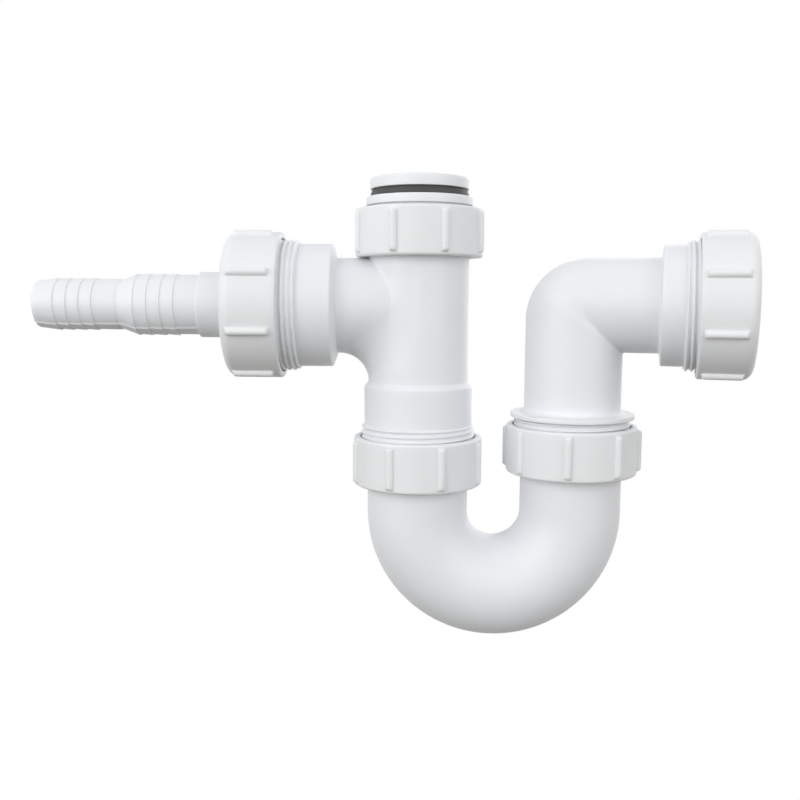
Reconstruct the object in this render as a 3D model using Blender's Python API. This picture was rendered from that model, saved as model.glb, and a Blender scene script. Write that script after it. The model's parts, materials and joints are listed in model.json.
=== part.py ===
"""Swivel P-trap for a kitchen sink, with a stepped nozzle for an appliance hose.

Sizes are in metres and angles in radians. The origin is the centre of the inlet
spigot's top face and +Z is up. The hose nozzle points to -X and the outlet leg
to +X, swung towards -Y. A drop is a depth below the origin.
"""

import math

import bmesh
import bpy
from mathutils import Vector

# Clearances
SEAT_GAP = 0.0003
LIP_CLEARANCE = 0.0004
NUT_BORE_CLEARANCE = 0.0006
NUT_MOUTH_CLEARANCE = 0.0004

# Threads, right-handed, the same form at all four ends
THREAD_PITCH = 0.0023
THREAD_DEPTH = 0.0011
THREAD_RUNOUT = 0.0008

# Flanged spigot, the same on the inlet and on both tops of the U-bend
PIPE_RADIUS = 0.0211
PIPE_WALL = 0.0021
LIP_INSET = 0.0005
LIP_HEIGHT = 0.0047
LIP_ROUND = 0.0009
GROOVE_DEPTH = 0.0020
GROOVE_HEIGHT = 0.0032
SPIGOT_WALL = 0.0018
FLANGE_STEP = 0.0012
FLANGE_HEIGHT = 0.0036
FLANGE_CHAMFER = 0.0006
BORE_TAPER = 0.0040
INLET_SEAL_PROUD = 0.0002
INLET_SEAL_TAPER = 0.0010
LEG_SEAL_INSET = 0.0002

# Tee: side branch
INLET_NUT_PLAY = 0.0012
BRANCH_STEP = 0.0012
BRANCH_WALL = 0.0021
BRANCH_SWEEP = 0.0113
BRANCH_NECK = 0.0137
COLLAR_DRAFT = 0.0005
BRANCH_COLLAR_STEP = 0.0007
BRANCH_COLLAR_LENGTH = 0.0150
BRANCH_THREAD_RISE = 0.0064
BRANCH_THREAD_LENGTH = 0.0130
BRANCH_PILOT_LENGTH = 0.0073
BRANCH_SOCKET_WALL = 0.0026

# Tee: lower socket
SHOULDER_OFFSET = 0.0006
SHOULDER_HEIGHT = 0.0021
SOCKET_STEP = 0.0018
SOCKET_LENGTH = 0.0160
SOCKET_THREAD_RISE = 0.0012
SOCKET_THREAD_LENGTH = 0.0120
SOCKET_PILOT_LENGTH = 0.0041
END_CHAMFER = 0.0006

# Hose nozzle
NOZZLE_FLANGE_HEIGHT = 0.0032
NOZZLE_FLANGE_INSET = 0.0010
NOZZLE_SEAL_THICKNESS = 0.0025
NOZZLE_COLLAR_STEP = 0.0012
NOZZLE_COLLAR_LENGTH = 0.0121
NOZZLE_STEM_RADIUS = 0.0125
NOZZLE_STEM_PLAIN = 0.0077
NOZZLE_WIDE_BARBS = 4
NOZZLE_WIDE_PITCH = 0.0059
NOZZLE_NARROW_PITCH = 0.0053
NOZZLE_BARB_HEIGHT = 0.00045
NOZZLE_CONE_LENGTH = 0.0066
NOZZLE_TIP_STEP = 0.0020
NOZZLE_NARROW_PLAIN = 0.0111
NOZZLE_NARROW_BARBS = 4
NOZZLE_NOSE_LENGTH = 0.0096
NOZZLE_NOSE_TAPER = 0.0008
NOZZLE_TIP_ROUND = 0.0012
NOZZLE_WALL = 0.0021

# U-bend
BEND_INNER_RADIUS = 0.0115
LEG_STEP = 0.00035
LEG_WALL = 0.0022
BEND_OFFSET = 0.0118

# Outlet elbow
OUTLET_SWING = math.radians(16.0)
OUTLET_RAISE = 0.0008
ELBOW_RISER_STEP = 0.0007
ELBOW_OUTLET_STEP = 0.0014
ELBOW_WALL = 0.0021
ELBOW_OUTER_ROUND = 0.0260
ELBOW_MITRE_ROUND = 0.0006
ELBOW_RISER_LENGTH = 0.0457
STOP_FLANGE_STEP = 0.0015
STOP_FLANGE_HEIGHT = 0.0019
STOP_FLANGE_FILLET = 0.0020
ELBOW_THREAD_LENGTH = 0.0105
ELBOW_PILOT_LENGTH = 0.0035
ELBOW_THREAD_RISE = 0.0017
OUTLET_NECK = 0.0150
OUTLET_COLLAR_STEP = 0.0008
OUTLET_COLLAR_LENGTH = 0.0091
OUTLET_THREAD_LENGTH = 0.0120
OUTLET_PILOT_LENGTH = 0.0065
OUTLET_SOCKET_DEPTH = 0.0240
WASTE_PIPE_CLEARANCE = 0.00035
MOUTH_DEPTH = 0.0045
MOUTH_FLARE = 0.0026
MOUTH_WALL = 0.0013
OUTLET_SEAL_LENGTH = 0.0062
OUTLET_SEAL_PROUD = 0.0028
SLIP_WASHER_THICKNESS = 0.0018
SLIP_WASHER_INSET = 0.0012

# Nuts
NUT_RIBS = 8
RIB_FOOT = 0.0034
RIB_CREST = 0.0018
RIB_LEAD = 0.0008
NUT_EDGE = 0.0012
NUT_HEIGHT = 0.0205
NUT_LIP = 0.0026
NUT_WALL = 0.0026
NUT_RIB_HEIGHT = 0.0017
INLET_NUT_HEIGHT = 0.0198
INLET_NUT_WALL = 0.0020
ELBOW_NUT_WALL = 0.0025
NOZZLE_NUT_HEIGHT = 0.0228
OUTLET_NUT_HEIGHT = 0.0217
LARGE_NUT_LIP = 0.0030
LARGE_NUT_WALL = 0.0024
LARGE_NUT_RIB_HEIGHT = 0.0019
LARGE_NUT_DOME = 0.0036
INLET_NUT_TURN = math.radians(21.2)
U_INLET_NUT_TURN = math.radians(19.5)
U_OUTLET_NUT_TURN = math.radians(3.1)
NOZZLE_NUT_TURN = math.radians(19.2)
OUTLET_NUT_TURN = math.radians(24.7)

# Facets
PIPE_SEGMENTS = 26
SMALL_SEGMENTS = 24
SWEEP_STEPS = 4
ELBOW_STEPS = 6
BEND_STEPS = 10
NUT_FACE_STEPS = 2
ROUND_STEPS = 2
SHARP_ANGLE = math.radians(35.0)
WELD_DISTANCE = 0.000002

# Sizes that follow from the ones above
PIPE_BORE = PIPE_RADIUS - PIPE_WALL
LIP_RADIUS = PIPE_RADIUS - LIP_INSET
GROOVE_RADIUS = LIP_RADIUS - GROOVE_DEPTH
SPIGOT_BORE = GROOVE_RADIUS - SPIGOT_WALL
SPIGOT_HEIGHT = LIP_HEIGHT + GROOVE_HEIGHT + FLANGE_HEIGHT
SOCKET_BORE = LIP_RADIUS + LIP_CLEARANCE
LEG_RADIUS = PIPE_RADIUS + LEG_STEP
LEG_BORE = LEG_RADIUS - LEG_WALL
SWIVEL_SPACING = 2.0 * (LEG_RADIUS + BEND_INNER_RADIUS)
BRANCH_RADIUS = PIPE_RADIUS - BRANCH_STEP
BRANCH_BORE = BRANCH_RADIUS - BRANCH_WALL
INLET_NUT_DROP = SPIGOT_HEIGHT + INLET_NUT_PLAY
BRANCH_DROP = INLET_NUT_DROP + INLET_NUT_HEIGHT + SEAT_GAP + BRANCH_RADIUS
BRANCH_THREAD_ROOT = BRANCH_RADIUS + BRANCH_THREAD_RISE
BRANCH_THREAD_RADIUS = BRANCH_THREAD_ROOT + THREAD_DEPTH
BRANCH_COLLAR_START = PIPE_RADIUS + BRANCH_NECK
BRANCH_COLLAR_RADIUS = BRANCH_THREAD_ROOT - BRANCH_COLLAR_STEP
BRANCH_SOCKET_BORE = BRANCH_THREAD_ROOT - BRANCH_SOCKET_WALL
BRANCH_THREAD_START = BRANCH_COLLAR_START + BRANCH_COLLAR_LENGTH
BRANCH_REACH = BRANCH_THREAD_START + BRANCH_THREAD_LENGTH + BRANCH_PILOT_LENGTH
SOCKET_RADIUS = PIPE_RADIUS + SOCKET_STEP
SOCKET_THREAD_RADIUS = SOCKET_RADIUS + SOCKET_THREAD_RISE
SHOULDER_DROP = BRANCH_DROP + BRANCH_RADIUS + BRANCH_SWEEP + SHOULDER_OFFSET
SOCKET_THREAD_DROP = SHOULDER_DROP + SHOULDER_HEIGHT + SOCKET_LENGTH
TEE_END_DROP = SOCKET_THREAD_DROP + SOCKET_THREAD_LENGTH + SOCKET_PILOT_LENGTH
NOZZLE_COLLAR_RADIUS = NOZZLE_STEM_RADIUS + NOZZLE_COLLAR_STEP
NOZZLE_TIP_RADIUS = NOZZLE_STEM_RADIUS - NOZZLE_TIP_STEP
ELBOW_AXIS_DROP = BRANCH_DROP - OUTLET_RAISE
ELBOW_RISER_RADIUS = PIPE_RADIUS - ELBOW_RISER_STEP
ELBOW_OUTLET_RADIUS = PIPE_RADIUS - ELBOW_OUTLET_STEP
ELBOW_THREAD_RADIUS = SOCKET_RADIUS + ELBOW_THREAD_RISE
STOP_FLANGE_RADIUS = ELBOW_THREAD_RADIUS + STOP_FLANGE_STEP
ELBOW_THREAD_DROP = ELBOW_AXIS_DROP + ELBOW_RISER_LENGTH + STOP_FLANGE_HEIGHT
ELBOW_END_DROP = ELBOW_THREAD_DROP + ELBOW_THREAD_LENGTH + ELBOW_PILOT_LENGTH
U_NUT_END_OFFSET = GROOVE_HEIGHT + FLANGE_HEIGHT + SEAT_GAP + NUT_LIP
U_INLET_NUT_DROP = TEE_END_DROP + U_NUT_END_OFFSET - NUT_HEIGHT
U_OUTLET_NUT_DROP = ELBOW_END_DROP + U_NUT_END_OFFSET - NUT_HEIGHT
BEND_DROP = TEE_END_DROP + U_NUT_END_OFFSET + BEND_OFFSET
OUTLET_SOCKET_BORE = LEG_RADIUS + WASTE_PIPE_CLEARANCE
MOUTH_RADIUS = OUTLET_SOCKET_BORE + MOUTH_FLARE
OUTLET_THREAD_ROOT = MOUTH_RADIUS + MOUTH_WALL
OUTLET_THREAD_RADIUS = OUTLET_THREAD_ROOT + THREAD_DEPTH
OUTLET_COLLAR_START = ELBOW_RISER_RADIUS + OUTLET_NECK
OUTLET_COLLAR_RADIUS = OUTLET_THREAD_ROOT - OUTLET_COLLAR_STEP
OUTLET_THREAD_START = OUTLET_COLLAR_START + OUTLET_COLLAR_LENGTH
OUTLET_REACH = OUTLET_THREAD_START + OUTLET_THREAD_LENGTH + OUTLET_PILOT_LENGTH
OUTLET_STOP = OUTLET_REACH - OUTLET_SOCKET_DEPTH
NOZZLE_SEAL_START = BRANCH_REACH + SEAT_GAP
NOZZLE_START = NOZZLE_SEAL_START + NOZZLE_SEAL_THICKNESS + SEAT_GAP
NOZZLE_NUT_END = NOZZLE_START + NOZZLE_FLANGE_HEIGHT + SEAT_GAP + LARGE_NUT_LIP
SLIP_WASHER_START = OUTLET_REACH + OUTLET_SEAL_PROUD + SEAT_GAP
OUTLET_NUT_END = SLIP_WASHER_START + SLIP_WASHER_THICKNESS + SEAT_GAP + LARGE_NUT_LIP

TO_HOSE = (0.0, -math.pi / 2, 0.0)
TO_WASTE = (0.0, math.pi / 2, 0.0)


def clear_scene():
    """Remove every object, so that the script can be run again in an open file."""
    for item in list(bpy.data.objects):
        bpy.data.objects.remove(item, do_unlink=True)


def make_material(name, colour, roughness):
    """A plain Principled material."""
    material = bpy.data.materials.new(name)
    material.use_nodes = True
    shader = material.node_tree.nodes["Principled BSDF"]
    shader.inputs["Base Color"].default_value = (*colour, 1.0)
    shader.inputs["Roughness"].default_value = roughness
    shader.inputs["Metallic"].default_value = 0.0
    return material


def make_empty(name, location, rotation=(0.0, 0.0, 0.0)):
    """An empty on a swivel's axis, for the pieces that turn with it."""
    empty = bpy.data.objects.new(name, None)
    empty.location = location
    empty.rotation_euler = rotation
    bpy.context.scene.collection.objects.link(empty)
    return empty


def finish_piece(name, mesh_data, material, location, rotation, parent):
    """Turn a finished bmesh into a named, placed and smooth-shaded object."""
    bmesh.ops.recalc_face_normals(mesh_data, faces=mesh_data.faces)
    if mesh_data.calc_volume(signed=True) < 0.0:
        bmesh.ops.reverse_faces(mesh_data, faces=mesh_data.faces)
    mesh = bpy.data.meshes.new(name)
    mesh_data.to_mesh(mesh)
    mesh_data.free()
    mesh.shade_smooth()
    mesh.set_sharp_from_angle(angle=SHARP_ANGLE)
    mesh.materials.append(material)
    piece = bpy.data.objects.new(name, mesh)
    piece.location = location
    piece.rotation_euler = rotation
    piece.parent = parent
    bpy.context.scene.collection.objects.link(piece)
    return piece


def loft(name, strips, material, location=(0.0, 0.0, 0.0), rotation=(0.0, 0.0, 0.0), parent=None):
    """Skin a closed solid over strips of rings, and weld the points that meet.

    Each ring is a list of points that ends where it starts. A helical ring ends
    one pitch further on, where it meets a later ring of its own strip.
    """
    mesh_data = bmesh.new()
    for rings in strips:
        rows = [[mesh_data.verts.new(point) for point in ring] for ring in rings]
        for row, following in zip(rows, rows[1:]):
            for index in range(len(row) - 1):
                corners = (row[index], row[index + 1], following[index + 1], following[index])
                mesh_data.faces.new(corners)
    bmesh.ops.remove_doubles(mesh_data, verts=mesh_data.verts, dist=WELD_DISTANCE)
    loose = [edge for edge in mesh_data.edges if not edge.link_faces]
    bmesh.ops.delete(mesh_data, geom=loose, context="EDGES")
    return finish_piece(name, mesh_data, material, location, rotation, parent)


def turned(name, profile, material, location=(0.0, 0.0, 0.0), rotation=(0.0, 0.0, 0.0), parent=None):
    """Spin a closed (radius, height) outline about Z."""
    mesh_data = bmesh.new()
    verts = [mesh_data.verts.new((radius, 0.0, height)) for radius, height in profile]
    edges = [mesh_data.edges.new(pair) for pair in zip(verts, verts[1:] + verts[:1])]
    bmesh.ops.spin(
        mesh_data, geom=verts + edges, cent=(0.0, 0.0, 0.0), axis=(0.0, 0.0, 1.0),
        angle=2.0 * math.pi, steps=SMALL_SEGMENTS, use_merge=True,
    )
    bmesh.ops.remove_doubles(mesh_data, verts=mesh_data.verts, dist=WELD_DISTANCE)
    return finish_piece(name, mesh_data, material, location, rotation, parent)


def even_angles(start=0.0):
    """Equal steps round a pipe, with the first one repeated at the end."""
    step = 2.0 * math.pi / PIPE_SEGMENTS
    return [start + step * index for index in range(PIPE_SEGMENTS + 1)]


def rings_of(profile, place, angles):
    """A ring for each (radius, distance) of a profile."""
    return [[place(radius, angle, distance) for angle in angles] for radius, distance in profile]


def quarter_round(radius, height, steps):
    """Offsets (inward, up) of a quarter circle, from its upright side to its level one."""
    turns = [math.pi / 2 * step / steps for step in range(steps + 1)]
    return [(radius * (1.0 - math.cos(turn)), height * math.sin(turn)) for turn in turns]


def thread_rings(place, angles, root, start, length):
    """A right-handed thread: helical rings, alternately at the root and the crest.

    The angles run right-handed about the direction in which the distance grows.
    The helix is cut off at both ends, where the crest sinks back into the root.
    """
    rings = []
    half_turns = 2 * math.ceil(length / THREAD_PITCH) + 2
    for step in range(-2, half_turns + 1):
        ring = []
        for angle in angles:
            lead = (step / 2.0 + (angle - angles[0]) / (2.0 * math.pi)) * THREAD_PITCH
            travel = min(max(lead, 0.0), length)
            rise = min(travel, length - travel, THREAD_RUNOUT) / THREAD_RUNOUT
            crest = THREAD_DEPTH * rise if step % 2 else 0.0
            ring.append(place(root + crest, angle, start + travel))
        rings.append(ring)
    return rings


def spigot_profile(top_drop, pipe_radius):
    """Outer (radius, drop) points of a flanged spigot, from its rim down to the pipe."""
    groove_top = top_drop + LIP_HEIGHT
    flange_top = groove_top + GROOVE_HEIGHT
    flange_end = flange_top + FLANGE_HEIGHT
    flange_radius = pipe_radius + FLANGE_STEP
    return [
        (LIP_RADIUS - LIP_ROUND, top_drop),
        (LIP_RADIUS, top_drop + LIP_ROUND),
        (LIP_RADIUS, groove_top),
        (GROOVE_RADIUS, groove_top),
        (GROOVE_RADIUS, flange_top),
        (flange_radius - FLANGE_CHAMFER, flange_top),
        (flange_radius, flange_top + FLANGE_CHAMFER),
        (flange_radius, flange_end),
        (pipe_radius, flange_end),
    ]


def spigot_bore(top_drop, pipe_bore):
    """Bore (radius, drop) points of a flanged spigot, from the pipe up to its rim."""
    throat = top_drop + SPIGOT_HEIGHT
    return [(pipe_bore, throat + BORE_TAPER), (SPIGOT_BORE, throat), (SPIGOT_BORE, top_drop)]


def socket_end(thread_root, end_drop):
    """Rim and counterbore (radius, drop) points of a threaded socket, from the outside in."""
    return [
        (thread_root - END_CHAMFER, end_drop),
        (SOCKET_BORE, end_drop),
        (SOCKET_BORE, end_drop - LIP_HEIGHT - SEAT_GAP),
    ]


def make_tee(material):
    """The tee: upright pipe, inlet spigot, swept side branch and lower socket, one moulding."""
    half = PIPE_SEGMENTS // 2
    quarter = math.pi / 2
    across = [quarter * (2.0 * index / half - 1.0) for index in range(half + 1)]
    around = [angle - quarter for angle in even_angles()]

    def columns(pipe_radius, branch_radius):
        """Angles about -Z from -X: one for each point across the branch, then the back."""
        front = [math.asin(branch_radius * math.sin(angle) / pipe_radius) for angle in across]
        step = 2.0 * (math.pi - front[-1]) / half
        return front + [front[-1] + step * index for index in range(1, half + 1)]

    def upright(radius, angle, drop):
        return Vector((-radius * math.cos(angle), radius * math.sin(angle), -drop))

    def branch(radius, angle, reach):
        return Vector((-reach, radius * math.sin(angle), radius * math.cos(angle) - BRANCH_DROP))

    def sweep(branch_radius, round_radius, angle, share):
        """A point of the junction: the branch's line bends down into the pipe's wall."""
        return round_radius * max(0.0, -math.cos(angle)), share * quarter

    def junction_ring(pipe_radius, branch_radius, round_radius, share):
        ring = []
        for angle in around:
            fillet, turn = sweep(branch_radius, round_radius, angle, share)
            side = branch_radius * math.sin(angle)
            wall = math.sqrt(pipe_radius ** 2 - side ** 2)
            reach = wall + fillet * (1.0 - math.sin(turn))
            sink = BRANCH_DROP - branch_radius * math.cos(angle) + fillet * (1.0 - math.cos(turn))
            ring.append(Vector((-reach, side, -sink)))
        return ring

    def waist(pipe_radius, branch_radius, round_radius, upper):
        """The pipe's ring that runs along the upper or lower edge of the branch's opening."""
        ring = []
        angles = columns(pipe_radius, branch_radius)
        for index, angle in enumerate(angles):
            drop = BRANCH_DROP
            if index <= half:
                height = branch_radius * math.cos(across[index])
                fillet = round_radius * max(0.0, math.cos(across[index]))
                drop += -height if upper else height + fillet
            ring.append(upright(pipe_radius, angle, drop))
        return ring

    outer_angles = columns(PIPE_RADIUS, BRANCH_RADIUS)
    bore_angles = columns(PIPE_BORE, BRANCH_BORE)
    bore_sweep = BRANCH_SWEEP + BRANCH_WALL
    shares = [step / SWEEP_STEPS for step in range(SWEEP_STEPS + 1)]
    thread_root = SOCKET_THREAD_RADIUS - THREAD_DEPTH

    top = [waist(PIPE_BORE, BRANCH_BORE, bore_sweep, True)]
    top += rings_of(spigot_bore(0.0, PIPE_BORE), upright, bore_angles)
    top += rings_of(spigot_profile(0.0, PIPE_RADIUS), upright, outer_angles)
    top.append(waist(PIPE_RADIUS, BRANCH_RADIUS, BRANCH_SWEEP, True))

    socket = [
        (PIPE_RADIUS, SHOULDER_DROP),
        (SOCKET_RADIUS, SHOULDER_DROP + SHOULDER_HEIGHT),
        (SOCKET_RADIUS, SOCKET_THREAD_DROP),
    ]
    bottom = [waist(PIPE_RADIUS, BRANCH_RADIUS, BRANCH_SWEEP, False)]
    bottom += rings_of(socket, upright, outer_angles)
    bottom += thread_rings(
        upright, outer_angles, thread_root, SOCKET_THREAD_DROP, SOCKET_THREAD_LENGTH,
    )
    rim = socket_end(thread_root, TEE_END_DROP)
    bottom += rings_of([(thread_root, TEE_END_DROP - END_CHAMFER)], upright, outer_angles)
    bottom += rings_of(rim + [(PIPE_BORE, rim[-1][1])], upright, bore_angles)
    bottom.append(waist(PIPE_BORE, BRANCH_BORE, bore_sweep, False))

    collar = [
        (BRANCH_RADIUS, BRANCH_COLLAR_START - COLLAR_DRAFT),
        (BRANCH_COLLAR_RADIUS - END_CHAMFER, BRANCH_COLLAR_START),
        (BRANCH_COLLAR_RADIUS, BRANCH_COLLAR_START + END_CHAMFER),
        (BRANCH_COLLAR_RADIUS, BRANCH_THREAD_START),
    ]
    socket_floor = BRANCH_COLLAR_START + BRANCH_SOCKET_WALL
    mouth = [
        (BRANCH_THREAD_ROOT, BRANCH_REACH - END_CHAMFER),
        (BRANCH_THREAD_ROOT - END_CHAMFER, BRANCH_REACH),
        (BRANCH_SOCKET_BORE, BRANCH_REACH),
        (BRANCH_SOCKET_BORE, socket_floor),
        (BRANCH_BORE, socket_floor),
    ]
    side = [junction_ring(PIPE_RADIUS, BRANCH_RADIUS, BRANCH_SWEEP, share) for share in shares[::-1]]
    side += rings_of(collar, branch, around)
    side += thread_rings(
        branch, around, BRANCH_THREAD_ROOT, BRANCH_THREAD_START, BRANCH_THREAD_LENGTH,
    )
    side += rings_of(mouth, branch, around)
    side += [junction_ring(PIPE_BORE, BRANCH_BORE, bore_sweep, share) for share in shares]

    return loft("tee_body", [top, bottom, side], material)


def make_u_bend(material, parent):
    """The U-bend: two flanged legs of different height and a half-turn between them."""
    angles = even_angles()
    bend_radius = SWIVEL_SPACING / 2

    def inlet_leg(radius, angle, drop):
        return Vector((radius * math.cos(angle), radius * math.sin(angle), -drop))

    def outlet_leg(radius, angle, drop):
        return Vector((SWIVEL_SPACING - radius * math.cos(angle), radius * math.sin(angle), -drop))

    def bend(radius, angle, turn):
        reach = bend_radius - radius * math.cos(angle)
        across = bend_radius - reach * math.cos(turn)
        return Vector((across, radius * math.sin(angle), -BEND_DROP - reach * math.sin(turn)))

    turns = [math.pi * step / BEND_STEPS for step in range(BEND_STEPS + 1)]
    inlet_top = TEE_END_DROP - LIP_HEIGHT
    outlet_top = ELBOW_END_DROP - LIP_HEIGHT
    rings = rings_of(spigot_profile(inlet_top, LEG_RADIUS), inlet_leg, angles)
    rings += rings_of([(LEG_RADIUS, turn) for turn in turns], bend, angles)
    rings += rings_of(spigot_profile(outlet_top, LEG_RADIUS)[::-1], outlet_leg, angles)
    rings += rings_of(spigot_bore(outlet_top, LEG_BORE)[::-1], outlet_leg, angles)
    rings += rings_of([(LEG_BORE, turn) for turn in turns[::-1]], bend, angles)
    rings += rings_of(spigot_bore(inlet_top, LEG_BORE), inlet_leg, angles)
    return loft("u_bend", [rings + rings[:1]], material, parent=parent)


def make_elbow(material, parent):
    """The outlet elbow: threaded riser, mitred turn with a round back, threaded outlet socket.

    It is built round its swivel axis with the outlet along +X.
    """
    angles = even_angles()

    def riser(radius, angle, height):
        return Vector((radius * math.cos(angle), radius * math.sin(angle), height))

    def outlet(radius, angle, reach):
        return Vector((reach, radius * math.sin(angle), -ELBOW_AXIS_DROP - radius * math.cos(angle)))

    def turn_ring(riser_radius, outlet_radius, inner_round, outer_round, share):
        """A ring of the turn, whose round grows from the mitred corner to the back."""
        ring = []
        turn = share * math.pi / 2
        for angle in angles:
            inward = math.cos(angle)
            fillet = inner_round + (outer_round - inner_round) * (1.0 - inward) / 2
            across = riser_radius * inward + fillet * (1.0 - math.cos(turn))
            drop = ELBOW_AXIS_DROP + outlet_radius * inward + fillet * (1.0 - math.sin(turn))
            width = riser_radius + (outlet_radius - riser_radius) * share
            ring.append(Vector((across, width * math.sin(angle), -drop)))
        return ring

    riser_root = ELBOW_THREAD_RADIUS - THREAD_DEPTH
    riser_bore = ELBOW_RISER_RADIUS - ELBOW_WALL
    outlet_bore = ELBOW_OUTLET_RADIUS - ELBOW_WALL
    shares = [step / ELBOW_STEPS for step in range(ELBOW_STEPS + 1)]

    rim = [(radius, -drop) for radius, drop in socket_end(riser_root, ELBOW_END_DROP)]
    pilot = (riser_root, END_CHAMFER - ELBOW_END_DROP)
    rings = rings_of([rim[1], rim[0], pilot], riser, angles)
    thread_start = ELBOW_PILOT_LENGTH - ELBOW_END_DROP
    rings += thread_rings(riser, angles, riser_root, thread_start, ELBOW_THREAD_LENGTH)
    flange_top = STOP_FLANGE_HEIGHT - ELBOW_THREAD_DROP
    neck_height = flange_top + STOP_FLANGE_FILLET
    stop_flange = [(STOP_FLANGE_RADIUS, -ELBOW_THREAD_DROP), (STOP_FLANGE_RADIUS, flange_top)]
    stop_flange += [
        (ELBOW_RISER_RADIUS + inward, neck_height - up)
        for inward, up in quarter_round(STOP_FLANGE_FILLET, STOP_FLANGE_FILLET, ROUND_STEPS)[::-1]
    ]
    rings += rings_of(stop_flange, riser, angles)
    rings += [
        turn_ring(ELBOW_RISER_RADIUS, ELBOW_OUTLET_RADIUS, ELBOW_MITRE_ROUND, ELBOW_OUTER_ROUND, share)
        for share in shares
    ]
    collar = [
        (ELBOW_OUTLET_RADIUS, OUTLET_COLLAR_START - COLLAR_DRAFT),
        (OUTLET_COLLAR_RADIUS - END_CHAMFER, OUTLET_COLLAR_START),
        (OUTLET_COLLAR_RADIUS, OUTLET_COLLAR_START + END_CHAMFER),
        (OUTLET_COLLAR_RADIUS, OUTLET_THREAD_START),
    ]
    rings += rings_of(collar, outlet, angles)
    rings += thread_rings(
        outlet, angles, OUTLET_THREAD_ROOT, OUTLET_THREAD_START, OUTLET_THREAD_LENGTH,
    )
    mouth = [
        (OUTLET_THREAD_ROOT, OUTLET_REACH - END_CHAMFER),
        (OUTLET_THREAD_ROOT - END_CHAMFER, OUTLET_REACH),
        (MOUTH_RADIUS, OUTLET_REACH),
        (OUTLET_SOCKET_BORE, OUTLET_REACH - MOUTH_DEPTH),
        (OUTLET_SOCKET_BORE, OUTLET_STOP),
        (outlet_bore, OUTLET_STOP),
    ]
    rings += rings_of(mouth, outlet, angles)
    rings += [
        turn_ring(
            riser_bore, outlet_bore, ELBOW_MITRE_ROUND + ELBOW_WALL / 2,
            ELBOW_OUTER_ROUND - ELBOW_WALL, share,
        )
        for share in shares[::-1]
    ]
    rings += rings_of([(riser_bore, rim[2][1]), rim[2], rim[1]], riser, angles)
    return loft("outlet_elbow", [rings], material, parent=parent)


def barbs(radius, start, pitch, count):
    """Steps that rise sharply and fall back towards the tip, up to the last crest."""
    points = []
    for barb in range(count):
        height = start + barb * pitch
        points += [(radius, height), (radius + NOZZLE_BARB_HEIGHT, height)]
    return points


def make_nozzle(material):
    """The hose nozzle: inner flange, collar, two barbed steps and an open tip."""
    height = NOZZLE_FLANGE_HEIGHT
    flange_radius = BRANCH_THREAD_ROOT - NOZZLE_FLANGE_INSET
    profile = [(flange_radius, 0.0), (flange_radius, height), (NOZZLE_COLLAR_RADIUS, height)]
    height += SEAT_GAP + LARGE_NUT_LIP + NOZZLE_COLLAR_LENGTH
    profile += [(NOZZLE_COLLAR_RADIUS, height), (NOZZLE_STEM_RADIUS, height)]
    wide_start = height + NOZZLE_STEM_PLAIN
    profile += barbs(NOZZLE_STEM_RADIUS, wide_start, NOZZLE_WIDE_PITCH, NOZZLE_WIDE_BARBS)
    height = profile[-1][1] + NOZZLE_CONE_LENGTH
    profile.append((NOZZLE_TIP_RADIUS, height))
    narrow_start = height + NOZZLE_NARROW_PLAIN
    profile += barbs(NOZZLE_TIP_RADIUS, narrow_start, NOZZLE_NARROW_PITCH, NOZZLE_NARROW_BARBS)
    height = profile[-1][1] + NOZZLE_NOSE_LENGTH
    nose_radius = NOZZLE_TIP_RADIUS - NOZZLE_NOSE_TAPER
    round_start = height - NOZZLE_TIP_ROUND
    profile += [
        (nose_radius - inward, round_start + up)
        for inward, up in quarter_round(NOZZLE_TIP_ROUND, NOZZLE_TIP_ROUND, ROUND_STEPS)
    ]
    profile += [(nose_radius - NOZZLE_WALL, height), (NOZZLE_STEM_RADIUS - NOZZLE_WALL, 0.0)]
    return turned("hose_nozzle", profile, material, (-NOZZLE_START, 0.0, -BRANCH_DROP), TO_HOSE)


def make_nut(
    name, material, thread_radius, pipe_radius, height, lip, wall, rib_height, dome, turn,
    location, rotation=(0.0, 0.0, 0.0), parent=None,
):
    """A ribbed union nut: threaded side up from the origin, inner lip round the pipe below."""
    bore = thread_radius + NUT_BORE_CLEARANCE
    body = bore + wall
    mouth = pipe_radius + NUT_MOUTH_CLEARANCE
    foot = RIB_FOOT / 2 / body
    crest = RIB_CREST / 2 / body
    period = 2.0 * math.pi / NUT_RIBS
    columns = []
    for rib in range(NUT_RIBS):
        centre = turn + rib * period
        columns += [(centre - foot, 0.0), (centre - crest, 1.0), (centre + crest, 1.0)]
        face = (period - 2.0 * foot) / NUT_FACE_STEPS
        columns += [(centre + foot + face * step, 0.0) for step in range(NUT_FACE_STEPS)]
    columns.append((columns[0][0] + 2.0 * math.pi, columns[0][1]))

    def ring(radius, depth, raised=0.0):
        points = []
        for angle, share in columns:
            reach = radius + raised * share
            points.append(Vector((reach * math.cos(angle), reach * math.sin(angle), -depth)))
        return points

    rings = [
        ring(bore, 0.0),
        ring(body - NUT_EDGE, 0.0),
        ring(body, NUT_EDGE),
        ring(body, NUT_EDGE + RIB_LEAD, rib_height),
        ring(body, height - dome - RIB_LEAD, rib_height),
    ]
    dome_steps = ROUND_STEPS if dome > NUT_EDGE else 1
    rings += [
        ring(body - inward, height - dome + up) for inward, up in quarter_round(dome, dome, dome_steps)
    ]
    rings += [
        ring(mouth, height),
        ring(mouth, height - lip),
        ring(bore, height - lip),
        ring(bore, 0.0),
    ]
    return loft(name, [rings], material, location, rotation, parent)


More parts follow.
